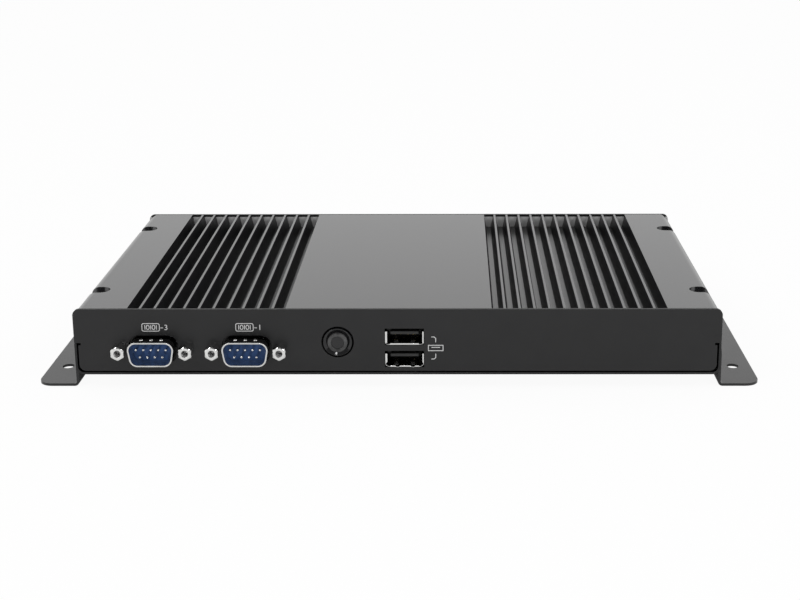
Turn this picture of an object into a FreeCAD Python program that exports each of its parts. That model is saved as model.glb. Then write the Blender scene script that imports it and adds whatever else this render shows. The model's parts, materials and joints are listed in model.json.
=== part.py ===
import FreeCAD, Part
import math
import os
from FreeCAD import Vector

# Fanless industrial computer on two side brackets, in millimetres.
# Frame: X to the right, Y to the back, Z up. The undersides of the bracket feet lie on Z = 0.
# The origin is the centre of the four mounting holes in those feet.

# ---------------------------------------------------------------- driving sizes

# case
case_width = 241.0
case_depth = 136.0
case_height = 25.6
tray_lift = 6.0
seam_drop = 13.35
seam_gap = 0.15

# bottom tray
tray_sheet = 0.8
tray_bend = 3.0

# heatsink cover
cover_side_gap = 0.5
cover_edge_radius = 3.2
skirt_wall = 1.6
channel_depth = 5.8
channel_floor = 2.05
web_under_channels = 2.4
centre_plate = 6.6
recess_side_margin = 1.5
fin_crest = 0.9
end_channel_trim = 0.25
left_field_start_share = 0.39825
left_field_pitch_share = 0.022871
left_field_fins = 10
right_field_start_share = 0.16633
right_field_pitch_share = 0.023117
right_field_fins = 11

# cover screws in their notches, and the posts under them
notch_width = 7.0
notch_depth = 5.0
notch_reach = 8.1
front_notch_setback = 23.4
rear_notch_setback = 25.1
post_diameter = 4.5
cover_screw_length = 10.0

# front and rear panels
panel_sheet = 1.2
panel_top_radius = 2.4
panel_low_radius = 2.5
panel_side_gap = 0.7
panel_floor_gap = 0.6
panel_relief = 0.9
tab_board_gap = 6.0
tab_width = 14.0
tab_reach = 10.0
tab_root_height = 1.8
tab_screw_setback = 6.5

# brackets
bracket_sheet = 1.0
bracket_wall_height = 16.6
bracket_foot_width = 15.0
bracket_inner_bend = 0.8
bracket_setback = 3.4
bracket_corner_radius = 5.5
foot_hole_diameter = 4.5
foot_hole_reach = 9.0
foot_hole_setback = 21.4
bracket_screw_height = 12.1
bracket_screw_spacing = 60.0

# M3 fasteners
m3_diameter = 3.0
m3_clearance = 0.2
m3_head_diameter = 5.6
m3_head_height = 2.0
short_screw_length = 4.0
clinch_nut_diameter = 6.0
clinch_nut_height = 2.0

# nine-pin serial ports
serial_setbacks = (29.5, 64.4)
serial_height = 15.9
serial_inner_width = 16.92
serial_inner_height = 8.36
serial_wall = 0.55
serial_corner = 2.6
serial_side_angle = 10.0
serial_protrusion = 5.9
serial_cutout_gap = 0.7
serial_ear_width = 30.8
serial_ear_height = 12.5
serial_ear_sheet = 0.8
serial_ear_corner = 1.5
serial_insulator_width = 19.2
serial_insulator_height = 10.8
pin_diameter = 1.0
pin_pitch = 2.77
pin_row_pitch = 2.84
pin_set_back = 1.0
pin_seat = 1.6
jack_spacing = 24.99
jack_across_flats = 4.9
jack_length = 5.0
jack_bore = 2.5
jack_bore_depth = 4.2
jack_shank_diameter = 2.8
jack_shank_length = 6.0
insert_diameter = 4.8
insert_length = 4.6

# USB sockets
front_usb_setback = 123.15
front_usb_height = 16.45
front_usb_pitch = 8.75
usb_width = 13.1
usb_height = 5.7
usb_wall = 0.3
usb_lip_flare = 0.6
usb_lip_flare_height = 0.2
usb_lip_length = 1.3
usb_cutout_gap = 0.2
usb_tongue_width = 11.1
usb_tongue_thickness = 1.84
usb_tongue_drop = 0.75
usb_tongue_length = 8.4
usb_root_length = 3.2

# power button
button_setback = 98.3
button_height = 18.8
button_hole_diameter = 12.1
button_cap_diameter = 10.8
button_dome_height = 0.9
button_flange_diameter = 13.2
button_flange_thickness = 1.1
button_end_gap = 0.1
button_travel = 0.8
button_guide_gap = 0.15
button_holder_wall = 1.2
button_holder_relief = 0.4
button_ring_outer = 7.4
button_ring_inner = 4.8
button_ring_rise = 0.35
button_ring_seat = 1.0
button_dish_depth = 0.3
stem_diameter = 4.0
switch_side = 6.0
switch_height = 3.5
plunger_diameter = 3.4
plunger_rise = 1.2
plunger_seat = 1.2
plunger_gap = 0.15

# front board
front_board_start = 10.5
front_board_length = 128.0
front_board_depth = 10.7
front_board_floor_gap = 0.8
front_board_ceiling_gap = 0.5
board_sheet = 1.6

# main board
main_board_width = 146.0
main_board_setback = 31.8
main_board_x = 9.0
main_board_rear_gap = 1.0
standoff_height = 2.5
standoff_diameter = 5.0
board_hole_inset = 4.0

# processor and heat path
processor_x = -3.2
processor_y = 0.0
processor_width = 27.0
processor_depth = 25.0
processor_thickness = 1.2
pad_thickness = 1.0
heat_block_side = 44.0
heat_block_screw_inset = 5.0
heat_block_screw_grip = 3.5

# memory module and its socket
memory_x = 40.0
memory_y = 2.0
memory_length = 67.6
memory_width = 30.0
memory_thickness = 1.0
memory_lift = 1.5
memory_socket_width = 6.5
memory_socket_height = 4.0
memory_slot_depth = 3.0
memory_arm_width = 2.0
memory_arm_length = 20.0

# storage module and its socket
storage_x = -46.0
storage_rear_setback = 29.8
storage_width = 22.0
storage_length = 42.0
storage_thickness = 0.8
storage_lift = 2.4
storage_socket_depth = 8.0
storage_socket_height = 4.2
storage_slot_depth = 4.0
storage_post_diameter = 5.5
storage_screw_end_gap = 0.4

# clock cell and its holder
cell_x = -3.0
cell_rear_setback = 23.8
cell_diameter = 20.0
cell_thickness = 3.2
cell_holder_wall = 1.2
cell_holder_floor = 0.8

# power chokes
choke_side = 6.5
choke_height = 3.0
choke_corner = 1.0
choke_x = 27.0
choke_row_centre = -15.25
choke_pitch = 8.5
choke_count = 4

# flat lead between the two boards
lead_x = -30.0
lead_width = 20.0
lead_thickness = 0.3
lead_lift = 1.4
lead_socket_width = 24.0
lead_socket_depth = 4.0
lead_socket_height = 2.8
lead_seat = 2.5

# rear sockets, their places along the rear panel
rear_socket_protrusion = 0.4
rear_cutout_gap = 0.25
audio_setback = 14.0
rear_usb_shares = (0.219, 0.342)
hdmi_share = 0.486
lan_shares = (0.63, 0.757)
dc_setback = 12.0
rear_usb_lift = 0.6
rear_usb_foot_gap = 1.0
lan_width = 16.0
lan_height = 11.5
lan_depth = 16.0
lan_mouth_width = 11.9
lan_mouth_height = 6.9
lan_mouth_depth = 11.5
lan_mouth_lift = 1.4
lan_latch_width = 6.2
lan_latch_height = 2.0
hdmi_width = 15.0
hdmi_height = 5.9
hdmi_wall = 0.45
hdmi_depth = 11.0
hdmi_chamfer = 1.6
hdmi_tongue_width = 10.8
hdmi_tongue_thickness = 1.2
hdmi_root_length = 2.5
hdmi_tongue_set_back = 2.0
audio_width = 6.4
audio_height = 6.2
audio_depth = 13.0
audio_barrel_diameter = 5.8
audio_bore = 3.6
audio_bore_depth = 12.0
dc_width = 9.2
dc_height = 10.8
dc_depth = 14.0
dc_bore = 6.4
dc_bore_depth = 9.5
dc_pin_diameter = 2.1
dc_pin_set_back = 0.8

# ---------------------------------------------------------------- derived places

top_z = tray_lift + case_height
seam_z = top_z - seam_drop
floor_z = tray_lift + tray_sheet
front_y = -case_depth / 2
rear_y = case_depth / 2
front_inner_y = front_y + panel_sheet
rear_inner_y = rear_y - panel_sheet
channel_z = top_z - channel_depth
cover_width = case_width - 2 * cover_side_gap
under_z = channel_z - web_under_channels
recess_z = top_z - centre_plate
tray_inner_x = case_width / 2 - tray_sheet
notch_x = cover_width / 2 - notch_reach + notch_width / 2
notch_z = top_z - notch_depth
bracket_outer_x = case_width / 2 + bracket_sheet
ear_back_y = front_inner_y + serial_ear_sheet
front_board_y = ear_back_y + front_board_depth
front_board_low_z = floor_z + front_board_floor_gap
front_board_high_z = under_z - front_board_ceiling_gap
board_low_z = floor_z + standoff_height
board_z = board_low_z + board_sheet
board_rear_y = rear_inner_y - main_board_rear_gap
board_front_y = front_y + main_board_setback
board_left_x = main_board_x - main_board_width / 2
board_right_x = main_board_x + main_board_width / 2
m3_hole = m3_diameter + 2 * m3_clearance
button_bore_diameter = button_flange_diameter + 2 * button_guide_gap
button_holder_diameter = button_bore_diameter + 2 * button_holder_wall

left_field_first_fin = -cover_width * left_field_start_share
left_field_pitch = cover_width * left_field_pitch_share
right_field_first_fin = cover_width * right_field_start_share
right_field_pitch = cover_width * right_field_pitch_share
foot_hole_x = case_width / 2 + foot_hole_reach
foot_hole_y = case_depth / 2 - foot_hole_setback
tab_spacing = board_right_x + tab_board_gap + tab_width / 2

# along the front, measured from the left side of the case
case_left_x = -case_width / 2
serial_x = [case_left_x + setback for setback in serial_setbacks]
button_x = case_left_x + button_setback
front_usb_x = case_left_x + front_usb_setback
front_board_left = case_left_x + front_board_start
front_board_right = front_board_left + front_board_length

# on the main board
cell_y = board_rear_y - cell_rear_setback
storage_socket_y = board_rear_y - storage_rear_setback
audio_x = board_left_x + audio_setback
rear_usb_x = [board_left_x + share * main_board_width for share in rear_usb_shares]
hdmi_x = board_left_x + hdmi_share * main_board_width
lan_x = [board_left_x + share * main_board_width for share in lan_shares]
dc_x = board_right_x - dc_setback


# every cut runs this far past the face that it opens
overcut = 1.0

AXIS_X = Vector(1, 0, 0)
AXIS_Y = Vector(0, 1, 0)
AXIS_Z = Vector(0, 0, 1)
DOWN = Vector(0, 0, -1)


# ---------------------------------------------------------------- small helpers

def box(x0, x1, y0, y1, z0, z1):
    """Box between two corners."""
    return Part.makeBox(x1 - x0, y1 - y0, z1 - z0, Vector(x0, y0, z0))


def centred_box(x, width, y0, y1, z, height):
    """Box centred on x and z, between two planes of Y."""
    return box(x - width / 2, x + width / 2, y0, y1, z - height / 2, z + height / 2)


def rod_x(y, z, diameter, x0, x1):
    """Cylinder along X."""
    return Part.makeCylinder(diameter / 2, x1 - x0, Vector(x0, y, z), Vector(1, 0, 0))


def rod_y(x, z, diameter, y0, y1):
    """Cylinder along Y."""
    return Part.makeCylinder(diameter / 2, y1 - y0, Vector(x, y0, z), Vector(0, 1, 0))


def rod_z(x, y, diameter, z0, z1):
    """Cylinder along Z."""
    return Part.makeCylinder(diameter / 2, z1 - z0, Vector(x, y, z0), Vector(0, 0, 1))


def prism_y(points, y0, y1):
    """Closed outline of (x, z) points, drawn along Y."""
    corners = [Vector(x, y0, z) for x, z in points]
    face = Part.Face(Part.makePolygon(corners + corners[:1]))
    return face.extrude(Vector(0, y1 - y0, 0))


def edges_along(shape, axis, test):
    """Straight edges parallel to an axis whose middle passes the test."""
    found = []
    for edge in shape.Edges:
        first, last = edge.Vertexes[0].Point, edge.Vertexes[-1].Point
        run = last - first
        if run.Length > 0 and abs(abs(run.dot(axis)) - run.Length) < 1e-6:
            if test((first + last) * 0.5):
                found.append(edge)
    return found


def rounded(shape, radius, axis, test=lambda middle: True):
    """Shape with the chosen straight edges rounded."""
    return shape.makeFillet(radius, edges_along(shape, axis, test))


def turned_to_rear(shape):
    """Front-facing shape turned half round about the Z axis, to face the back."""
    turned = shape.copy()
    turned.rotate(Vector(0, 0, 0), Vector(0, 0, 1), 180)
    return turned


def mirrored_x(shape):
    """Mirror image across the plane X = 0."""
    return shape.mirror(Vector(0, 0, 0), Vector(1, 0, 0))


def group(shapes):
    """Separate solids kept together in one node."""
    return Part.makeCompound(shapes)


def pan_screw(seat, direction, length):
    """M3 screw: round head standing on its seat, shank running along the direction."""
    screw = rod_z(0, 0, m3_head_diameter, 0, m3_head_height).fuse(rod_z(0, 0, m3_diameter, -length, 0))
    screw.Placement = FreeCAD.Placement(seat, FreeCAD.Rotation(AXIS_Z, direction * -1))
    return screw


# ---------------------------------------------------------------- heatsink cover

def channel_points(first_fin, pitch, fins):
    """Outline of one field of channels, left to right: top, floor, floor, top for each."""
    taper = (pitch - fin_crest - channel_floor) / 2
    points = []
    for index in range(fins + 1):
        low_left = first_fin + (index - 1) * pitch + fin_crest / 2 + taper
        low_right = low_left + channel_floor
        left_taper = taper - (end_channel_trim if index == 0 else 0)
        right_taper = taper - (end_channel_trim if index == fins else 0)
        points += [
            (low_left - left_taper, top_z),
            (low_left, channel_z),
            (low_right, channel_z),
            (low_right + right_taper, top_z),
        ]
    return points


def cover_profile():
    """Section of the extrusion: skirts, two fields of tapered fins, plain centre plate."""
    half = cover_width / 2
    skirt_z = seam_z + seam_gap
    left_field = channel_points(left_field_first_fin, left_field_pitch, left_field_fins)
    right_field = channel_points(right_field_first_fin, right_field_pitch, right_field_fins)
    recess_left = left_field[-1][0] + recess_side_margin
    recess_right = right_field[0][0] - recess_side_margin
    top = [(-half, skirt_z), (-half, top_z)] + left_field + right_field + [(half, top_z)]
    underside = [
        (half, skirt_z),
        (half - skirt_wall, skirt_z),
        (half - skirt_wall, under_z),
        (recess_right, under_z),
        (recess_right, recess_z),
        (recess_left, recess_z),
        (recess_left, under_z),
        (-half + skirt_wall, under_z),
        (-half + skirt_wall, skirt_z),
    ]
    return top + underside


def notch_places():
    """Axes of the four cover screws."""
    rows = (front_y + front_notch_setback, rear_y - rear_notch_setback)
    return [(side * notch_x, y) for y in rows for side in (-1, 1)]


def heatsink_cover():
    half = cover_width / 2
    cover = prism_y(cover_profile(), front_inner_y, rear_inner_y)
    cover = rounded(cover, cover_edge_radius, AXIS_Y,
                    lambda m: abs(m.z - top_z) < 1e-6 and abs(m.x) > half - 1e-6)
    cuts = []
    for x, y in notch_places():
        outside = math.copysign(half + notch_width, x)
        low, high = min(x, outside), max(x, outside)
        cuts.append(rod_z(x, y, notch_width, notch_z, top_z + overcut))
        cuts.append(box(low, high, y - notch_width / 2, y + notch_width / 2, notch_z, top_z + overcut))
        cuts.append(rod_z(x, y, m3_hole, under_z - overcut, notch_z + overcut))
    for x, y in heat_block_screw_places():
        depth = heat_block_screw_grip
        cuts.append(rod_z(x, y, m3_diameter, recess_z - overcut, recess_z + depth))
    cuts.append(rod_y(button_x, button_height, button_holder_diameter + 2 * button_holder_relief,
                      front_inner_y - overcut, front_board_y + board_sheet))
    return cover.cut(cuts)


def cover_screws():
    return group([pan_screw(Vector(x, y, notch_z), DOWN, cover_screw_length) for x, y in notch_places()])


def cover_posts():
    """Threaded pillars pressed into the tray floor, carrying the cover at its four screws."""
    thread_z = notch_z - cover_screw_length
    posts = []
    for x, y in notch_places():
        post = rod_z(x, y, post_diameter, floor_z, under_z)
        posts.append(post.cut(rod_z(x, y, m3_diameter, thread_z, under_z + overcut)))
    return group(posts)


# ---------------------------------------------------------------- tray, panels, brackets

def tab_places():
    """Middles of the three tabs along each panel."""
    return [step * tab_spacing for step in (-1, 0, 1)]


def tab_screw_places():
    """Screws that come up through the tray into the tabs of both panels."""
    rows = (front_y + tab_screw_setback, rear_y - tab_screw_setback)
    return [(x, y) for y in rows for x in tab_places()]


def bracket_screw_places():
    return [side * bracket_screw_spacing / 2 for side in (-1, 1)]


def bottom_tray():
    """Sheet folded to a U: floor and two side walls that stand up to the seam."""
    half = case_width / 2
    outside = box(-half, half, front_y, rear_y, tray_lift, seam_z)
    outside = rounded(outside, tray_bend, AXIS_Y, lambda m: abs(m.z - tray_lift) < 1e-6)
    inside = box(-tray_inner_x, tray_inner_x, front_y - overcut, rear_y + overcut, floor_z, seam_z + overcut)
    inside = rounded(inside, tray_bend - tray_sheet, AXIS_Y, lambda m: abs(m.z - floor_z) < 1e-6)
    tray = outside.cut(inside)
    cuts = [rod_z(x, y, m3_hole, tray_lift - overcut, floor_z + overcut) for x, y in tab_screw_places()]
    for y in bracket_screw_places():
        cuts.append(rod_x(y, bracket_screw_height, m3_hole, -half - overcut, half + overcut))
    return tray.cut(cuts)


def panel_tab(x):
    """Angle tab welded behind the panel's foot, lying flat on the tray floor."""
    low, high = x - tab_width / 2, x + tab_width / 2
    root = box(low, high, front_inner_y, front_inner_y + panel_sheet, floor_z, floor_z + tab_root_height)
    flat = box(low, high, front_inner_y, front_y + tab_reach, floor_z, floor_z + panel_sheet)
    hole = rod_z(x, front_y + tab_screw_setback, m3_diameter, floor_z, floor_z + panel_sheet)
    return root.fuse(flat).cut(hole)


def panel_blank():
    """Panel before its cut-outs: wide top, narrow lower half, tabs on the tray floor."""
    wide = case_width / 2
    narrow = tray_inner_x - panel_side_gap
    low_z = floor_z + panel_floor_gap
    upper_z = seam_z + seam_gap
    upper = box(-wide, wide, front_y, front_inner_y, upper_z, top_z)
    upper = rounded(upper, panel_top_radius, AXIS_Y, lambda m: abs(m.z - top_z) < 1e-6)
    lower = box(-narrow, narrow, front_y, front_inner_y, low_z, upper_z)
    lower = rounded(lower, panel_low_radius, AXIS_Y, lambda m: abs(m.z - low_z) < 1e-6)
    plate = upper.fuse(lower)
    cuts = []
    for side in (-1, 1):
        corner_x = side * (narrow - panel_relief / 2)
        cuts.append(centred_box(corner_x, panel_relief, front_y - overcut, front_inner_y + overcut,
                                upper_z - panel_relief / 2, panel_relief))
    return plate.cut(cuts).fuse([panel_tab(x) for x in tab_places()]).removeSplitter()


def front_panel():
    cuts = []
    for x in serial_x:
        gap = serial_wall + serial_cutout_gap
        cuts.append(serial_prism(x, gap, front_y - overcut, front_inner_y + overcut))
        for side in (-1, 1):
            hole = jack_shank_diameter + 2 * m3_clearance
            cuts.append(rod_y(x + side * jack_spacing / 2, serial_height, hole,
                              front_y - overcut, front_inner_y + overcut))
    lip_width = usb_width + 2 * usb_lip_flare
    lip_height = usb_height + 2 * usb_lip_flare_height
    for z in front_usb_heights():
        cuts.append(centred_box(front_usb_x, lip_width + 2 * usb_cutout_gap, front_y - overcut,
                                front_inner_y + overcut, z, lip_height + 2 * usb_cutout_gap))
    cuts.append(rod_y(button_x, button_height, button_hole_diameter,
                      front_y - overcut, front_inner_y + overcut))
    return panel_blank().cut(cuts)


def rear_panel():
    blank = turned_to_rear(panel_blank())
    return blank.cut(rear_cutouts())


def panel_screws():
    return group([pan_screw(Vector(x, y, tray_lift), AXIS_Z, tray_sheet + panel_sheet)
                  for x, y in tab_screw_places()])


def bracket_left():
    """Sheet folded to an L: wall against the tray, foot turned outwards."""
    inner_x = -case_width / 2
    wall_x = -bracket_outer_x
    foot_x = wall_x - bracket_foot_width
    half = case_depth / 2 - bracket_setback
    wall = box(wall_x, inner_x, -half, half, 0, bracket_wall_height)
    foot = box(foot_x, inner_x, -half, half, 0, bracket_sheet)
    bracket = wall.fuse(foot).removeSplitter()
    bracket = rounded(bracket, bracket_inner_bend, AXIS_Y,
                      lambda m: abs(m.x - wall_x) < 1e-6 and abs(m.z - bracket_sheet) < 1e-6)
    bracket = rounded(bracket, bracket_inner_bend + bracket_sheet, AXIS_Y,
                      lambda m: abs(m.x - inner_x) < 1e-6 and abs(m.z) < 1e-6)
    bracket = rounded(bracket, bracket_corner_radius, AXIS_Z, lambda m: abs(m.x - foot_x) < 1e-6)
    bracket = rounded(bracket, bracket_corner_radius, AXIS_X,
                      lambda m: abs(m.z - bracket_wall_height) < 1e-6)
    cuts = []
    for side in (-1, 1):
        cuts.append(rod_z(-foot_hole_x, side * foot_hole_y, foot_hole_diameter, -1, bracket_sheet + overcut))
    for y in bracket_screw_places():
        cuts.append(rod_x(y, bracket_screw_height, m3_hole, wall_x - overcut, inner_x + overcut))
    return bracket.cut(cuts)


def bracket_screws():
    length = bracket_sheet + tray_sheet + clinch_nut_height
    screws = []
    for y in bracket_screw_places():
        left = pan_screw(Vector(-bracket_outer_x, y, bracket_screw_height), AXIS_X, length)
        screws += [left, mirrored_x(left)]
    return group(screws)


def bracket_nuts():
    """Round nuts pressed into the tray's side walls for the bracket screws."""
    nuts = []
    for y in bracket_screw_places():
        nut = rod_x(y, bracket_screw_height, clinch_nut_diameter,
                    -tray_inner_x, -tray_inner_x + clinch_nut_height)
        nut = nut.cut(rod_x(y, bracket_screw_height, m3_diameter, -case_width, 0))
        nuts += [nut, mirrored_x(nut)]
    return group(nuts)


# ---------------------------------------------------------------- serial ports

def serial_prism(x, growth, y0, y1):
    """D-shaped prism, wide side up, its outline grown outwards from the shell's inside."""
    half_height = serial_inner_height / 2 + growth
    lean = math.tan(math.radians(serial_side_angle))
    slant = 1 / math.cos(math.radians(serial_side_angle))
    middle = serial_inner_width / 2 - serial_inner_height / 2 * lean + growth * slant
    wide = middle + half_height * lean
    narrow = middle - half_height * lean
    low, high = serial_height - half_height, serial_height + half_height
    prism = prism_y([(x - narrow, low), (x + narrow, low), (x + wide, high), (x - wide, high)], y0, y1)
    return rounded(prism, serial_corner + growth, AXIS_Y)


def jack_places(x):
    return [x + side * jack_spacing / 2 for side in (-1, 1)]


def serial_shell(x):
    """Steel shell: ears behind the panel with threaded inserts, and the collar round the pins."""
    lip_y = front_y - serial_protrusion
    collar = serial_prism(x, serial_wall, lip_y, ear_back_y)
    ears = centred_box(x, serial_ear_width, front_inner_y, ear_back_y, serial_height, serial_ear_height)
    ears = rounded(ears, serial_ear_corner, AXIS_Y)
    inserts = [rod_y(jack_x, serial_height, insert_diameter, ear_back_y, ear_back_y + insert_length)
               for jack_x in jack_places(x)]
    shell = collar.fuse([ears] + inserts)
    bores = [rod_y(jack_x, serial_height, jack_shank_diameter, front_inner_y - overcut, front_board_y)
             for jack_x in jack_places(x)]
    hollow = serial_prism(x, 0, lip_y - overcut, ear_back_y + overcut)
    return shell.cut([hollow] + bores)


def pin_places(x):
    """Five pins above, four below, each row centred."""
    places = []
    for count, row in ((5, 0.5), (4, -0.5)):
        for index in range(count):
            places.append((x + (index - (count - 1) / 2) * pin_pitch, serial_height + row * pin_row_pitch))
    return places


def serial_insulator(x):
    """Moulding that fills the foot of the collar and runs back to the front board."""
    front = serial_prism(x, 0, front_y, ear_back_y)
    back = centred_box(x, serial_insulator_width, ear_back_y, front_board_y,
                       serial_height, serial_insulator_height)
    seats = [rod_y(pin_x, pin_z, pin_diameter, front_y - overcut, front_y + pin_seat)
             for pin_x, pin_z in pin_places(x)]
    return front.fuse(back).removeSplitter().cut(seats)


def serial_pins(x):
    tip_y = front_y - serial_protrusion + pin_set_back
    return group([rod_y(pin_x, pin_z, pin_diameter, tip_y, front_y + pin_seat)
                  for pin_x, pin_z in pin_places(x)])


def jack_screw(x):
    """Hexagonal jack screw: threaded bore in its head, shank through the panel into the insert."""
    reach = jack_across_flats / 2 / math.cos(math.radians(30))
    corners = [(x + reach * math.sin(math.radians(60 * k)),
                serial_height + reach * math.cos(math.radians(60 * k))) for k in range(6)]
    head = prism_y(corners, front_y - jack_length, front_y)
    shank = rod_y(x, serial_height, jack_shank_diameter, front_y, front_y + jack_shank_length)
    bore = rod_y(x, serial_height, jack_bore, front_y - jack_length - overcut,
                 front_y - jack_length + jack_bore_depth)
    return head.fuse(shank).cut(bore).removeSplitter()


def serial_jack_screws():
    return group([jack_screw(jack_x) for x in serial_x for jack_x in jack_places(x)])


# ---------------------------------------------------------------- USB sockets

def front_usb_heights():
    """Upper and lower socket."""
    return [front_usb_height + side * front_usb_pitch / 2 for side in (1, -1)]


def usb_shell(x, z, mouth_y, root_y):
    """Folded steel sleeve with a flared lip, facing the front."""
    def sleeve(shrink, y0, y1):
        return centred_box(x, usb_width - shrink, y0, y1, z, usb_height - shrink)

    def flare(shrink, y0):
        outlines = []
        for y, grow_x, grow_z in ((y0, usb_lip_flare, usb_lip_flare_height),
                                  (mouth_y + usb_lip_length, 0, 0)):
            half_x = usb_width / 2 - shrink / 2 + grow_x
            half_z = usb_height / 2 - shrink / 2 + grow_z
            corners = [Vector(x + sx * half_x, y, z + sz * half_z)
                       for sx, sz in ((-1, -1), (1, -1), (1, 1), (-1, 1))]
            outlines.append(Part.makePolygon(corners + corners[:1]))
        return Part.makeLoft(outlines, True, True)

    outer = sleeve(0, mouth_y + usb_lip_length, root_y).fuse(flare(0, mouth_y))
    inner = sleeve(2 * usb_wall, mouth_y + usb_lip_length, root_y + overcut)
    return outer.cut(inner.fuse(flare(2 * usb_wall, mouth_y)))


def usb_tongue(x, z, mouth_y, root_y):
    """Moulding that closes the sleeve's root and carries the contact tongue."""
    root = centred_box(x, usb_width - 2 * usb_wall, root_y - usb_root_length, root_y,
                       z, usb_height - 2 * usb_wall)
    high = z + usb_height / 2 - usb_wall - usb_tongue_drop
    half = usb_tongue_width / 2
    start_y = root_y - usb_root_length - usb_tongue_length
    tongue = box(x - half, x + half, start_y, root_y - usb_root_length,
                 high - usb_tongue_thickness, high)
    return root.fuse(tongue).removeSplitter()


# ---------------------------------------------------------------- power button

def button_holder():
    """Tube between the front board and the panel that guides the button's flange."""
    tube = rod_y(button_x, button_height, button_holder_diameter, front_inner_y, front_board_y)
    return tube.cut(rod_y(button_x, button_height, button_bore_diameter,
                          front_inner_y - overcut, front_board_y + overcut))


def button_cap():
    """Domed cap with a flange behind the panel, a groove for the light ring and a stem."""
    face_y = front_y
    flange_y = front_inner_y + button_end_gap
    back_y = flange_y + button_flange_thickness
    radius = button_cap_diameter / 2
    dome = button_dome_height
    ball = (radius * radius + dome * dome) / (2 * dome)
    body = rod_y(button_x, button_height, button_cap_diameter, face_y - dome, back_y)
    sphere = Part.makeSphere(ball, Vector(button_x, face_y - dome + ball, button_height))
    cap = body.common(sphere.fuse(rod_y(button_x, button_height, 2 * ball, face_y, back_y)))
    flange = rod_y(button_x, button_height, button_flange_diameter, flange_y, back_y)
    stem = rod_y(button_x, button_height, stem_diameter, back_y, plunger_front_y())
    cap = cap.fuse([flange, stem]).removeSplitter()
    centre = rod_y(button_x, button_height, button_ring_inner, face_y - dome - overcut,
                   face_y - dome + button_dish_depth)
    return cap.cut([ring_blank(), centre])


def ring_blank():
    """Straight ring that the light ring and its groove share."""
    y0 = front_y - button_dome_height - button_ring_rise
    y1 = front_y - button_dome_height + button_ring_seat
    tube = rod_y(button_x, button_height, button_ring_outer, y0, y1)
    return tube.cut(rod_y(button_x, button_height, button_ring_inner, y0 - overcut, y1 + overcut))


def button_light_ring():
    """Clear ring pressed into the cap, its outer front edge bevelled."""
    ring = ring_blank()
    front = front_y - button_dome_height - button_ring_rise
    rims = [e for e in ring.Edges if e.Closed and abs(e.CenterOfMass.y - front) < 1e-6]
    return ring.makeChamfer(button_ring_rise, max(rims, key=lambda rim: rim.Length))


def switch_front_y():
    return front_board_y - switch_height


def plunger_front_y():
    return switch_front_y() - plunger_rise


def button_plunger():
    return rod_y(button_x, button_height, plunger_diameter, plunger_front_y(),
                 switch_front_y() + plunger_seat)


def button_switch():
    """Square switch body on the front board, with the bore that its plunger sinks into."""
    body = centred_box(button_x, switch_side, switch_front_y(), front_board_y, button_height, switch_side)
    bore_end = switch_front_y() + plunger_seat + button_travel + plunger_gap
    return body.cut(rod_y(button_x, button_height, plunger_diameter + 2 * plunger_gap,
                          switch_front_y() - overcut, bore_end))


# ---------------------------------------------------------------- boards

def front_board():
    return box(front_board_left, front_board_right, front_board_y, front_board_y + board_sheet,
               front_board_low_z, front_board_high_z)


def board_screw_places():
    return [(x, y) for x in (board_left_x + board_hole_inset, board_right_x - board_hole_inset)
            for y in (board_front_y + board_hole_inset, board_rear_y - board_hole_inset)]


def main_board():
    board = box(board_left_x, board_right_x, board_front_y, board_rear_y, board_low_z, board_z)
    return board.cut([rod_z(x, y, m3_hole, board_low_z - overcut, board_z + overcut)
                      for x, y in board_screw_places()])


def board_standoffs():
    posts = []
    for x, y in board_screw_places():
        post = rod_z(x, y, standoff_diameter, floor_z, board_low_z)
        posts.append(post.cut(rod_z(x, y, m3_diameter, floor_z - overcut, board_low_z + overcut)))
    return group(posts)


def board_screws():
    return group([pan_screw(Vector(x, y, board_z), DOWN, short_screw_length)
                  for x, y in board_screw_places()])


def processor():
    return box(processor_x - processor_width / 2, processor_x + processor_width / 2,
               processor_y - processor_depth / 2, processor_y + processor_depth / 2,
               board_z, board_z + processor_thickness)


def thermal_pad():
    low = board_z + processor_thickness
    return box(processor_x - processor_width / 2, processor_x + processor_width / 2,
               processor_y - processor_depth / 2, processor_y + processor_depth / 2,
               low, low + pad_thickness)


def heat_block_screw_places():
    reach = heat_block_side / 2 - heat_block_screw_inset
    return [(processor_x + sx * reach, processor_y + sy * reach) for sx in (-1, 1) for sy in (-1, 1)]


def heat_block():
    """Aluminium block that carries heat from the processor up to the cover."""
    low = board_z + processor_thickness + pad_thickness
    half = heat_block_side / 2
    block = box(processor_x - half, processor_x + half, processor_y - half, processor_y + half, low, recess_z)
    cuts = []
    for x, y in heat_block_screw_places():
        cuts.append(rod_z(x, y, m3_hole, low - overcut, recess_z + overcut))
        cuts.append(rod_z(x, y, m3_head_diameter + 2 * m3_clearance, low - overcut, low + m3_head_height))
    return block.cut(cuts)


def heat_block_screws():
    low = board_z + processor_thickness + pad_thickness + m3_head_height
    length = recess_z - low + heat_block_screw_grip
    return group([pan_screw(Vector(x, y, low), AXIS_Z, length) for x, y in heat_block_screw_places()])


def memory_module():
    left = memory_x + memory_socket_width - memory_slot_depth
    low = board_z + memory_lift
    return box(left, left + memory_width, memory_y - memory_length / 2, memory_y + memory_length / 2,
               low, low + memory_thickness)


def memory_socket():
    """Bar with a slot for the module's edge, and two arms along its sides."""
    half = memory_length / 2 + memory_arm_width
    bar = box(memory_x, memory_x + memory_socket_width, memory_y - half, memory_y + half,
              board_z, board_z + memory_socket_height)
    arms = []
    for side in (-1, 1):
        middle = memory_y + side * (half - memory_arm_width / 2)
        arms.append(box(memory_x, memory_x + memory_socket_width + memory_arm_length,
                        middle - memory_arm_width / 2, middle + memory_arm_width / 2,
                        board_z, board_z + memory_lift + memory_thickness))
    return bar.fuse(arms).removeSplitter().cut(memory_module())


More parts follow.
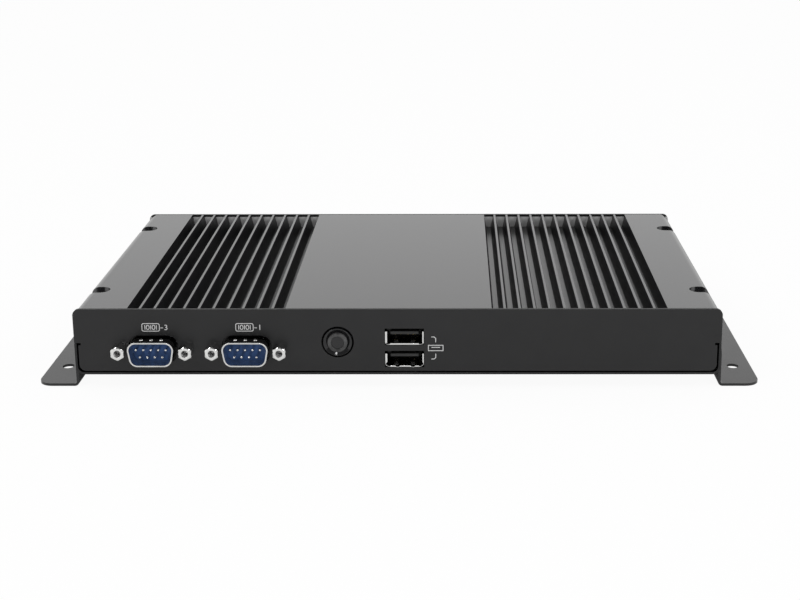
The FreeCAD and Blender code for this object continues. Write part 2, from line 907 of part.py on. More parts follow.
def storage_module():
    back = storage_socket_y + storage_slot_depth
    low = board_z + storage_lift
    half = storage_width / 2
    module = box(storage_x - half, storage_x + half, back - storage_length, back,
                 low, low + storage_thickness)
    return module.cut(rod_z(storage_x, back - storage_length, m3_diameter, low - overcut,
                            low + storage_thickness + overcut))


def storage_socket():
    half = storage_width / 2
    bar = box(storage_x - half, storage_x + half, storage_socket_y,
              storage_socket_y + storage_socket_depth, board_z, board_z + storage_socket_height)
    return bar.cut(storage_module())


def storage_post():
    """Pillar under the free end of the storage module."""
    y = storage_socket_y + storage_slot_depth - storage_length
    post = rod_z(storage_x, y, storage_post_diameter, board_z, board_z + storage_lift)
    return post.cut(rod_z(storage_x, y, m3_diameter, board_z - overcut, board_z + storage_lift + overcut))


def storage_screw():
    y = storage_socket_y + storage_slot_depth - storage_length
    low = board_z + storage_lift + storage_thickness
    return pan_screw(Vector(storage_x, y, low), DOWN,
                     storage_lift + storage_thickness - storage_screw_end_gap)


def cell_holder():
    outer = rod_z(cell_x, cell_y, cell_diameter + 2 * cell_holder_wall, board_z,
                  board_z + cell_holder_floor + cell_thickness)
    return outer.cut(rod_z(cell_x, cell_y, cell_diameter, board_z + cell_holder_floor,
                           board_z + cell_holder_floor + cell_thickness + overcut))


def coin_cell():
    low = board_z + cell_holder_floor
    return rod_z(cell_x, cell_y, cell_diameter, low, low + cell_thickness)


def power_chokes():
    chokes = []
    for index in range(choke_count):
        y = choke_row_centre + (index - (choke_count - 1) / 2) * choke_pitch
        choke = box(choke_x - choke_side / 2, choke_x + choke_side / 2,
                    y - choke_side / 2, y + choke_side / 2, board_z, board_z + choke_height)
        chokes.append(rounded(choke, choke_corner, AXIS_Z))
    return group(chokes)


# ---------------------------------------------------------------- flat lead

def lead_z():
    return board_z + lead_lift


def front_lead():
    """Stiff flat lead from the front board to the edge of the main board."""
    return box(lead_x - lead_width / 2, lead_x + lead_width / 2,
               front_board_y + board_sheet + lead_socket_depth - lead_seat, board_front_y + lead_seat,
               lead_z(), lead_z() + lead_thickness)


def lead_socket(y0, y1, low):
    block = box(lead_x - lead_socket_width / 2, lead_x + lead_socket_width / 2, y0, y1,
                low, low + lead_socket_height)
    return block.cut(front_lead())


def lead_socket_front():
    y0 = front_board_y + board_sheet
    return lead_socket(y0, y0 + lead_socket_depth, board_z)


def lead_socket_main():
    return lead_socket(board_front_y, board_front_y + lead_socket_depth, board_z)


# ---------------------------------------------------------------- rear sockets

def rear_mouth_y():
    return rear_y + rear_socket_protrusion


def rear_usb_z():
    return board_z + rear_usb_lift + usb_height / 2


def rear_usb(maker, x):
    """A USB piece drawn facing the front, turned to face the back at x."""
    mouth = -rear_mouth_y()
    root = mouth + usb_lip_length + usb_tongue_length + usb_root_length
    return turned_to_rear(maker(-x, rear_usb_z(), mouth, root))


def rear_usb_shell(x):
    """Sleeve with two feet that stand on the board."""
    shell = rear_usb(usb_shell, x)
    root = rear_mouth_y() - usb_lip_length - usb_tongue_length - usb_root_length
    front = board_rear_y - rear_usb_foot_gap
    feet = [box(x + side * usb_width / 2 - (usb_wall if side > 0 else 0),
                x + side * usb_width / 2 + (usb_wall if side < 0 else 0),
                root, front, board_z, rear_usb_z()) for side in (-1, 1)]
    return shell.fuse(feet).removeSplitter()


def lan_socket(x):
    """Network socket: square mouth with a latch slot above it."""
    mouth = rear_mouth_y()
    body = box(x - lan_width / 2, x + lan_width / 2, mouth - lan_depth, mouth, board_z, board_z + lan_height)
    low = board_z + lan_mouth_lift
    hollow = box(x - lan_mouth_width / 2, x + lan_mouth_width / 2, mouth - lan_mouth_depth, mouth + overcut,
                 low, low + lan_mouth_height)
    latch = box(x - lan_latch_width / 2, x + lan_latch_width / 2, mouth - lan_mouth_depth, mouth + overcut,
                low + lan_mouth_height - overcut, low + lan_mouth_height + lan_latch_height)
    return body.cut([hollow, latch])


def hdmi_outline(growth):
    """Outline of the video socket, its two lower corners cut off."""
    half = hdmi_width / 2 - growth
    low = board_z + growth
    high = board_z + hdmi_height - growth
    cut = hdmi_chamfer
    return [(hdmi_x - half, high), (hdmi_x + half, high), (hdmi_x + half, low + cut),
            (hdmi_x + half - cut, low), (hdmi_x - half + cut, low), (hdmi_x - half, low + cut)]


def hdmi_shell():
    mouth = rear_mouth_y()
    outer = prism_y(hdmi_outline(0), mouth - hdmi_depth, mouth)
    return outer.cut(prism_y(hdmi_outline(hdmi_wall), mouth - hdmi_depth - overcut, mouth + overcut))


def hdmi_tongue():
    mouth = rear_mouth_y()
    root = prism_y(hdmi_outline(hdmi_wall), mouth - hdmi_depth, mouth - hdmi_depth + hdmi_root_length)
    middle = board_z + hdmi_height / 2
    tongue = centred_box(hdmi_x, hdmi_tongue_width, mouth - hdmi_depth + hdmi_root_length,
                         mouth - hdmi_tongue_set_back, middle, hdmi_tongue_thickness)
    return root.fuse(tongue).removeSplitter()


def audio_jack():
    mouth = rear_mouth_y()
    middle = board_z + audio_height / 2
    body = centred_box(audio_x, audio_width, mouth - audio_depth, rear_inner_y - rear_cutout_gap,
                       middle, audio_height)
    barrel = rod_y(audio_x, middle, audio_barrel_diameter, mouth - audio_depth, mouth)
    bore = rod_y(audio_x, middle, audio_bore, mouth - audio_bore_depth, mouth + overcut)
    return body.fuse(barrel).removeSplitter().cut(bore)


def dc_middle_z():
    return board_z + dc_height / 2


def dc_jack():
    mouth = rear_mouth_y()
    body = centred_box(dc_x, dc_width, mouth - dc_depth, mouth, dc_middle_z(), dc_height)
    return body.cut(rod_y(dc_x, dc_middle_z(), dc_bore, mouth - dc_bore_depth, mouth + overcut))


def dc_jack_pin():
    mouth = rear_mouth_y()
    return rod_y(dc_x, dc_middle_z(), dc_pin_diameter, mouth - dc_bore_depth, mouth - dc_pin_set_back)


def rear_cutouts():
    """Openings in the rear panel, each a gap wider than the socket that comes through it."""
    y0, y1 = rear_inner_y - overcut, rear_y + overcut
    gap = 2 * rear_cutout_gap
    cuts = []
    for x in rear_usb_x:
        cuts.append(centred_box(x, usb_width + 2 * usb_lip_flare + gap, y0, y1, rear_usb_z(),
                                usb_height + 2 * usb_lip_flare_height + gap))
    for x in lan_x:
        cuts.append(centred_box(x, lan_width + gap, y0, y1, board_z + lan_height / 2, lan_height + gap))
    cuts.append(centred_box(hdmi_x, hdmi_width + gap, y0, y1, board_z + hdmi_height / 2, hdmi_height + gap))
    cuts.append(rod_y(audio_x, board_z + audio_height / 2, audio_barrel_diameter + gap, y0, y1))
    cuts.append(centred_box(dc_x, dc_width + gap, y0, y1, dc_middle_z(), dc_height + gap))
    return cuts


# ---------------------------------------------------------------- all nodes

def all_nodes():
    nodes = {
        "heatsink_cover": heatsink_cover(),
        "cover_screws": cover_screws(),
        "cover_posts": cover_posts(),
        "front_panel": front_panel(),
        "rear_panel": rear_panel(),
        "panel_screws": panel_screws(),
        "bottom_tray": bottom_tray(),
        "bracket_left": bracket_left(),
        "bracket_right": mirrored_x(bracket_left()),
        "bracket_screws": bracket_screws(),
        "bracket_nuts": bracket_nuts(),
        "front_board": front_board(),
        "serial_jack_screws": serial_jack_screws(),
        "button_holder": button_holder(),
        "button_cap": button_cap(),
        "button_light_ring": button_light_ring(),
        "button_plunger": button_plunger(),
        "button_switch": button_switch(),
        "main_board": main_board(),
        "board_standoffs": board_standoffs(),
        "board_screws": board_screws(),
        "processor": processor(),
        "thermal_pad": thermal_pad(),
        "heat_block": heat_block(),
        "heat_block_screws": heat_block_screws(),
        "memory_socket": memory_socket(),
        "memory_module": memory_module(),
        "storage_socket": storage_socket(),
        "storage_module": storage_module(),
        "storage_post": storage_post(),
        "storage_screw": storage_screw(),
        "cell_holder": cell_holder(),
        "coin_cell": coin_cell(),
        "power_chokes": power_chokes(),
        "front_lead": front_lead(),
        "lead_socket_front": lead_socket_front(),
        "lead_socket_main": lead_socket_main(),
        "hdmi_shell": hdmi_shell(),
        "hdmi_tongue": hdmi_tongue(),
        "audio_jack": audio_jack(),
        "dc_jack": dc_jack(),
        "dc_jack_pin": dc_jack_pin(),
    }
    for side, x in zip(("left", "right"), serial_x):
        nodes["serial_shell_" + side] = serial_shell(x)
        nodes["serial_insulator_" + side] = serial_insulator(x)
        nodes["serial_pins_" + side] = serial_pins(x)
    for level, z in zip(("upper", "lower"), front_usb_heights()):
        nodes["front_usb_shell_" + level] = usb_shell(front_usb_x, z, front_y, front_board_y)
        nodes["front_usb_tongue_" + level] = usb_tongue(front_usb_x, z, front_y, front_board_y)
    for side, x in zip(("left", "right"), rear_usb_x):
        nodes["rear_usb_shell_" + side] = rear_usb_shell(x)
        nodes["rear_usb_tongue_" + side] = rear_usb(usb_tongue, x)
    for side, x in zip(("left", "right"), lan_x):
        nodes["lan_socket_" + side] = lan_socket(x)
    return nodes


os.makedirs("parts", exist_ok=True)
for name, shape in all_nodes().items():
    shape.exportStep("parts/" + name + ".step")
    print(name, len(shape.Solids), round(shape.Volume, 1))
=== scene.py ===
"""Finishes, screws, contacts, marks and studio for a flat fanless industrial computer.

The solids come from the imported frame. Everything here is in metres in the same frame:
X to the right, Y to the back, Z up, with the bracket feet on Z = 0.
"""

import json
import math

import bmesh
import bpy
import numpy as np
from bpy.props import FloatProperty, FloatVectorProperty, PointerProperty, StringProperty
from mathutils import Matrix, Vector


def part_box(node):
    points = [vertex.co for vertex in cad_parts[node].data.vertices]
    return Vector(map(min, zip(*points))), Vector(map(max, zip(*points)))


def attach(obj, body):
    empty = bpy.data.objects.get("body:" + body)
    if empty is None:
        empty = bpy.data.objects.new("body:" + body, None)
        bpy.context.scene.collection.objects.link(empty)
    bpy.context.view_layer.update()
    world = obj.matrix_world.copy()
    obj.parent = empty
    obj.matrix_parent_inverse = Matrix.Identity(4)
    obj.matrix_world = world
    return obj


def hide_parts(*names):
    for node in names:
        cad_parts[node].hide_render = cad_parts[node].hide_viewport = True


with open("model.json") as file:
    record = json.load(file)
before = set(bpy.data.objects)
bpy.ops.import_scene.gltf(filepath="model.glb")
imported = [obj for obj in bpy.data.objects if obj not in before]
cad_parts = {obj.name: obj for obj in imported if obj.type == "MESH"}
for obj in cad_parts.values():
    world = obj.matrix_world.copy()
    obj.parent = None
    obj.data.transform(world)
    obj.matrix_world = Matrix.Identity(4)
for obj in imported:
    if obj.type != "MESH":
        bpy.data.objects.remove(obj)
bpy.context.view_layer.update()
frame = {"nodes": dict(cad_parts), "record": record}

bl_info = {
    "name": "Fanless Industrial Computer",
    "version": (1, 0, 0),
    "blender": (4, 5, 0),
    "location": "3D View > Sidebar > Computer",
    "description": "Finishes, screws, contacts and marks of a finned computer, and its studio",
    "category": "Add Mesh",
}

SIDES = ("left", "right")
TURN = 2 * math.pi
RIGHT = np.array([1.0, 0.0, 0.0])
BACK = np.array([0.0, 1.0, 0.0])
UP = np.array([0.0, 0.0, 1.0])


# ------------------------------------------------------------ settings and nodes


def metres(name, description, default, low, high):
    """A length that can be set."""
    return FloatProperty(name=name, description=description, default=default,
                         min=low, max=high, unit="LENGTH")


def tone(name, description, default):
    """A colour that can be set."""
    return FloatVectorProperty(name=name, description=description, default=default,
                               min=0, max=1, subtype="COLOR")


def brightness(name, description, default, high=1.0):
    """A brightness that can be set."""
    return FloatProperty(name=name, description=description, default=default, min=0, max=high)


def degrees(name, description, default):
    """An angle that can be set, given in degrees."""
    return FloatProperty(name=name, description=description, default=math.radians(default), subtype="ANGLE")


def words(name, description, default):
    """A text that can be set."""
    return StringProperty(name=name, description=description, default=default)


def fill(tree, node, inputs):
    """Set each input of a node, or link it where a socket is given; underscores stand for spaces."""
    for key, value in inputs.items():
        socket = node.inputs[key.replace("_", " ") if isinstance(key, str) else key]
        if isinstance(value, bpy.types.NodeSocket):
            tree.links.new(value, socket)
        else:
            socket.default_value = value
    return node


def add_node(tree, kind, **inputs):
    """A new node with its inputs filled."""
    return fill(tree, tree.nodes.new(kind), inputs)


def worked_out(tree, operation, *values):
    """Result of one sum of up to three values or sockets."""
    node = tree.nodes.new("ShaderNodeMath")
    node.operation = operation
    return fill(tree, node, dict(enumerate(values))).outputs[0]


# ------------------------------------------------------------ places read from the frame


def node_box(node):
    """Lowest and highest corner of a node, as arrays."""
    low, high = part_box(node)
    return np.array(low), np.array(high)


def node_middle(node):
    """Centre of a node's box."""
    low, high = node_box(node)
    return (low + high) / 2


# The front panel's outer face and the top of the fins.
FRONT = node_box("front_panel")[0][1]
TOP = node_box("heatsink_cover")[1][2]


def solid_boxes(node):
    """Boxes of the separate solids of a node, found by splitting a merged copy into islands."""
    mesh = bmesh.new()
    mesh.from_mesh(frame["nodes"][node].data)
    bmesh.ops.remove_doubles(mesh, verts=mesh.verts, dist=1e-6)
    mesh.verts.ensure_lookup_table()
    left, boxes = set(mesh.verts), []
    while left:
        heap = [left.pop()]
        island = []
        while heap:
            corner = heap.pop()
            island.append(corner.co[:])
            for edge in corner.link_edges:
                other = edge.other_vert(corner)
                if other in left:
                    left.discard(other)
                    heap.append(other)
        island = np.array(island)
        boxes.append((island.min(0), island.max(0)))
    mesh.free()
    return sorted(boxes, key=lambda pair: tuple(pair[0].round(5)))


# ------------------------------------------------------------ surfaces


def grid_faces(rows, columns, close_rows, close_columns, first):
    """Each face joins a point of the grid to its neighbours along both parameters."""
    index = np.arange(rows * columns).reshape(rows, columns) + first
    if close_rows:
        index = np.concatenate([index, index[:1]])
    if close_columns:
        index = np.concatenate([index, index[:, :1]], axis=1)
    corners = [index[:-1, :-1], index[1:, :-1], index[1:, 1:], index[:-1, 1:]]
    return np.stack(corners, axis=-1).reshape(-1, 4)


def make_piece(name, skins, finish, body="case", corner=35.0):
    """One mesh from several grids of points; seams and poles are merged and normals face out."""
    points, faces, first = [], [], 0
    for grid, close_rows, close_columns in skins:
        rows, columns = grid.shape[:2]
        faces.append(grid_faces(rows, columns, close_rows, close_columns, first))
        points.append(grid.reshape(-1, 3))
        first += rows * columns
    mesh = bpy.data.meshes.new(name)
    mesh.from_pydata(np.concatenate(points), [], np.concatenate(faces).tolist())
    shape = bmesh.new()
    shape.from_mesh(mesh)
    bmesh.ops.remove_doubles(shape, verts=shape.verts, dist=2e-7)
    bmesh.ops.dissolve_degenerate(shape, edges=shape.edges, dist=1e-8)
    bmesh.ops.recalc_face_normals(shape, faces=shape.faces)
    shape.to_mesh(mesh)
    shape.free()
    mesh.shade_smooth()
    mesh.set_sharp_from_angle(angle=math.radians(corner))
    mesh.materials.append(MATERIALS[finish])
    piece = bpy.data.objects.new(name, mesh)
    bpy.context.scene.collection.objects.link(piece)
    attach(piece, body)
    return piece


def unit(vectors):
    """Each vector shortened or drawn out to length 1."""
    return vectors / np.linalg.norm(vectors, axis=1)[:, None]


def quarter_turn(flat):
    """Flat vectors turned left by a right angle."""
    return np.stack([-flat[:, 1], flat[:, 0]], axis=1)


def across(axis):
    """Two unit directions at right angles to an axis and to each other."""
    axis = np.asarray(axis, float)
    first = np.cross(axis, UP if abs(axis[2]) < 0.9 else BACK)
    first /= np.linalg.norm(first)
    return first, np.cross(axis, first)


def turned(profile, centre, axis, steps=32):
    """Profile of (radius, height) carried round an axis: centre + height along it + radius across it."""
    profile = np.array(profile, float)
    first, second = across(axis)
    angle = np.linspace(0, TURN, steps, endpoint=False)
    ring = np.cos(angle)[:, None] * first + np.sin(angle)[:, None] * second
    grid = (
        np.asarray(centre, float)
        + profile[:, 1][:, None, None] * np.asarray(axis, float)
        + profile[:, 0][:, None, None] * ring
    )
    return grid, False, True


def swept(section, path, across_path, normal):
    """Section of (side, rise) points carried along a path: point + side across + rise along the normal."""
    path = np.asarray(path, float)[:, None, :]
    across_path = np.broadcast_to(np.asarray(across_path, float), (path.shape[0], 3))[:, None, :]
    normal = np.broadcast_to(np.asarray(normal, float), (path.shape[0], 3))[:, None, :]
    section = np.array(section, float)
    grid = path + section[:, 0][None, :, None] * across_path + section[:, 1][None, :, None] * normal
    middle = grid.mean(axis=1, keepdims=True)
    ends = np.repeat(middle[[0, -1]], grid.shape[1], axis=1)
    return np.concatenate([ends[:1], grid, ends[1:]]), False, True


def box_section(width, thickness, bevel=0.0):
    """Rectangle about the path, its corners cut by the bevel."""
    half, low, high = width / 2, -thickness / 2, thickness / 2
    if not bevel:
        return [(-half, low), (half, low), (half, high), (-half, high)]
    return [
        (-half + bevel, low), (half - bevel, low), (half, low + bevel), (half, high - bevel),
        (half - bevel, high), (-half + bevel, high), (-half, high - bevel), (-half, low + bevel),
    ]


def strip(x, y, z, width, thickness, bevel=0.0):
    """Flat strip whose path keeps its x while y and z may run."""
    path = np.stack(np.broadcast_arrays(x, y, z), axis=1)
    return swept(box_section(width, thickness, bevel), path, RIGHT, UP)


def smooth_step(value, start, end):
    """Rises from 0 to 1 between start and end with level ends."""
    share = np.clip((value - start) / (end - start), 0, 1)
    return share * share * (3 - 2 * share)


def cross_head(seat, axis, radius, height, shank, length, settings):
    """Pan head with a cross recess on its shank.

    A square grid is drawn out to a disc; its height is a flat crown that rounds over at the rim,
    less the recess inside either bar of the cross, which grows shallower outwards.
    """
    lip, crown_start, crown_share, shallowing = 0.03, 0.7, 0.45, 0.75
    side, arm = settings.recess_width / 2 / radius, settings.recess_reach / radius
    half = np.array([0, side * 0.5, side, side + lip, arm * 0.6, arm, arm + lip, 0.72, 0.84, 0.93, 0.98, 1])
    line = np.concatenate([-half[:0:-1], half])
    s, t = np.meshgrid(line, line, indexing="ij")
    square = np.maximum(abs(s), abs(t))
    round_share = square / np.maximum(np.hypot(s, t), 1e-9)
    blend = smooth_step(square, arm + lip, 1)
    scale = 1 + (round_share - 1) * blend
    over = np.clip((square - crown_start) / (1 - crown_start), 0, 1)
    crown = height * crown_share * (1 - np.sqrt(1 - over ** 2))
    bar_s = (abs(t) <= side + 1e-6) & (abs(s) <= arm + 1e-6)
    bar_t = (abs(s) <= side + 1e-6) & (abs(t) <= arm + 1e-6)
    sunk = np.maximum(bar_s * (1 - shallowing * abs(s) / arm), bar_t * (1 - shallowing * abs(t) / arm))
    rise = height - crown - settings.recess_depth * sunk
    first, second = across(axis)
    axis = np.asarray(axis, float)
    seat = np.asarray(seat, float)
    head = seat + (s * scale * radius)[..., None] * first + (t * scale * radius)[..., None] * second
    head = head + rise[..., None] * axis
    rim = np.concatenate([head[0, :-1], head[:-1, -1], head[-1, :0:-1], head[:0:-1, 0]])
    spoke = rim - seat
    spoke = unit(spoke - (spoke @ axis)[:, None] * axis)
    levels = [(radius, 0.0), (shank, 0.0), (shank, -length * 0.94), (shank * 0.8, -length), (0.0, -length)]
    rings = [rim] + [seat + r * spoke + h * axis for r, h in levels]
    return [(head, False, False), (np.stack(rings), False, True)]


# ------------------------------------------------------------ finishes


class FinishSettings(bpy.types.PropertyGroup):
    """Colours and textures of the surfaces."""

    anodised: tone("Anodised black", "Colour of the heatsink cover", (0.010, 0.010, 0.011))
    paint: tone("Black paint", "Colour of the panels, tray and brackets", (0.006, 0.006, 0.0065))
    insulator: tone("Insulator blue", "Colour of the serial ports' mouldings", (0.024, 0.06, 0.165))
    board: tone("Solder mask", "Colour of the circuit boards", (0.01, 0.09, 0.035))
    grain: metres("Paint grain", "Spacing of the grain in the paint", 0.0004, 0.0001, 0.005)
    edge: metres("Edge rounding", "Radius at which light rolls over sharp edges", 0.00015, 0, 0.001)


class Finish:
    """A principled material that is built up from noise, edge wear and bump.

    Mottling and drift are the arguments of mottled and varied, which every finish has.
    """

    def __init__(self, name, colour, rough, mottling, drift, metal=0.0, ior=1.5, specular=0.5):
        self.material = bpy.data.materials.new(name)
        self.material.use_nodes = True
        self.tree = self.material.node_tree
        self.shader = self.tree.nodes["Principled BSDF"]
        self.place = self.node("ShaderNodeTexCoord").outputs["Object"]
        self.colour = self.tint = (*colour, 1.0)
        self.rough = rough
        self.normal = None
        self.shade(Metallic=metal, IOR=ior, Specular_IOR_Level=specular)
        self.mottled(*mottling).varied(*drift)

    def node(self, kind, **inputs):
        """A new node with its inputs filled."""
        return add_node(self.tree, kind, **inputs)

    def shade(self, **inputs):
        """Inputs of the material's shader."""
        fill(self.tree, self.shader, inputs)
        return self

    def noise(self, spacing, stretch=(1, 1, 1)):
        """Noise whose lumps are one spacing apart, drawn out along the axes with a larger stretch."""
        scale = [1 / (spacing * s) for s in stretch]
        place = self.node("ShaderNodeMapping", Vector=self.place, Scale=scale).outputs[0]
        return self.node("ShaderNodeTexNoise", Vector=place, Scale=1.0, Detail=3.0).outputs["Fac"]

    def ranged(self, value, low, high, start=0.3, end=0.7):
        """The value moved from start..end to low..high."""
        return self.node("ShaderNodeMapRange", Value=value, From_Min=start, From_Max=end,
                         To_Min=low, To_Max=high).outputs[0]

    def math(self, operation, *values):
        """Result of one sum of up to three values or sockets."""
        return worked_out(self.tree, operation, *values)

    def part(self, vector, axis):
        """One component of a vector."""
        return self.node("ShaderNodeSeparateXYZ", Vector=vector).outputs[axis]

    def true_normal(self):
        """Direction of the face before any bevel or bump."""
        return self.node("ShaderNodeNewGeometry").outputs["Normal"]

    def against_normal(self, vector):
        """Dot product of a vector and the true normal."""
        dot = self.tree.nodes.new("ShaderNodeVectorMath")
        dot.operation = "DOT_PRODUCT"
        return fill(self.tree, dot, {0: vector, 1: self.true_normal()}).outputs["Value"]

    def bevel(self, radius):
        """Normal that rolls over sharp edges."""
        bevel = self.node("ShaderNodeBevel", Radius=radius)
        bevel.samples = 4
        return bevel.outputs[0]

    def varied(self, spacing, amount, stretch=(1, 1, 1)):
        """Roughness that drifts by the amount either side of its middle value."""
        self.sheen = self.ranged(self.noise(spacing, stretch), self.rough - amount, self.rough + amount)
        return self.shade(Roughness=self.sheen)

    def mottled(self, spacing, share, stretch=(1, 1, 1)):
        """Colour that drifts between itself and a lighter tone."""
        lighter = [min(1.0, c * (1 + share)) for c in self.colour[:3]]
        return self.blended(self.ranged(self.noise(spacing, stretch), 0.0, 1.0), lighter)

    def blended(self, share, colour):
        """Base colour mixed towards another by a share."""
        mix = self.tree.nodes.new("ShaderNodeMix")
        mix.data_type = "RGBA"
        fill(self.tree, mix, {"Factor": share, "A": self.tint, "B": (*colour, 1.0)})
        self.tint = mix.outputs["Result"]
        return self.shade(Base_Color=self.tint)

    def within(self, reach, band=0.0004):
        """1 where the distance from the case's middle along Y is under the reach, else 0."""
        return self.ranged(self.math("ABSOLUTE", self.part(self.place, "Y")), 1.0, 0.0, reach - band, reach)

    def painted_shade_inside(self, reach=0.0678, band=0.0004):
        """Painted shade: colour that turns dark wherever the distance from the case's middle is under the
        reach, where the metal behind the panel's face lies in shade.
        """
        # Near-black painted shade for the metal behind the panel's face.
        dark = (0.02, 0.02, 0.02)
        return self.blended(self.within(reach, band), dark)

    def bare_inside(self, colour, reach, above, below):
        """Colour left unpainted inside the case between two heights."""
        height, band = self.part(self.place, "Z"), 0.0001
        low = self.ranged(height, 1.0, 0.0, below - band, below)
        high = self.ranged(height, 0.0, 1.0, above, above + band)
        inner = self.math("MULTIPLY", self.within(reach, band), low)
        return self.blended(self.math("MULTIPLY", inner, high), colour)

    def painted_reflection_outside(self, colour, centre, reach):
        """Painted reflection: colour that turns dark on the outside of a collar about a centre, within the
        reach, standing in for the black panel that the plated collar mirrors.
        """
        offset = self.node("ShaderNodeMapping", Vector=self.place, Location=[-c for c in centre])
        flat = self.node("ShaderNodeMapping", Vector=offset.outputs[0], Scale=(1, 0, 1))
        outside = self.ranged(self.against_normal(flat.outputs[0]), 0.0, 1.0, 0.0, 0.0005)
        return self.blended(self.math("MULTIPLY", self.within(reach), outside), colour)

    def matte_channels(self, wall_rough, wall_shine, floor_rough, floor_shine, level):
        """Rougher faces inside channels.

        Those that look sideways also shine less; the others below a level shine more.
        """
        side = self.math("ABSOLUTE", self.part(self.true_normal(), "X"))
        side = self.ranged(side, 0.0, 1.0, 0.5, 0.9)
        low = self.ranged(self.part(self.place, "Z"), 1.0, 0.0, level - 0.0005, level)
        low = self.math("MULTIPLY", low, self.math("SUBTRACT", 1.0, side))
        rough = self.math("MULTIPLY_ADD", low, floor_rough, self.sheen)
        rough = self.math("MULTIPLY_ADD", side, wall_rough, rough)
        shine = self.math("MULTIPLY_ADD", low, floor_shine, self.ranged(side, 0.5, wall_shine, 0.0, 1.0))
        return self.shade(Roughness=rough, Specular_IOR_Level=shine)

    def rounded(self, radius):
        """Shading that rolls over sharp edges."""
        self.normal = self.bevel(radius)
        return self.shade(Normal=self.normal)

    def bumped(self, spacing=0.0002, height=0.00001, stretch=(1, 1, 1), strength=0.4):
        """Fine relief."""
        noise = self.noise(spacing, stretch)
        bump = self.node("ShaderNodeBump", Height=noise, Distance=height, Strength=strength)
        if self.normal:
            fill(self.tree, bump, {"Normal": self.normal})
        self.normal = bump.outputs[0]
        return self.shade(Normal=self.normal)

    def worn(self, radius, amount):
        """Colour rubbed lighter where the surface turns an edge, in patches."""
        edge = self.ranged(self.against_normal(self.bevel(radius)), amount, 0.0, 0.8, 0.98)
        patches = self.ranged(self.noise(0.004), 0.25, 1.0, 0.35, 0.65)
        rubbed = (0.16, 0.16, 0.16)
        return self.blended(self.math("MULTIPLY", edge, patches), rubbed)


MATERIALS = {}


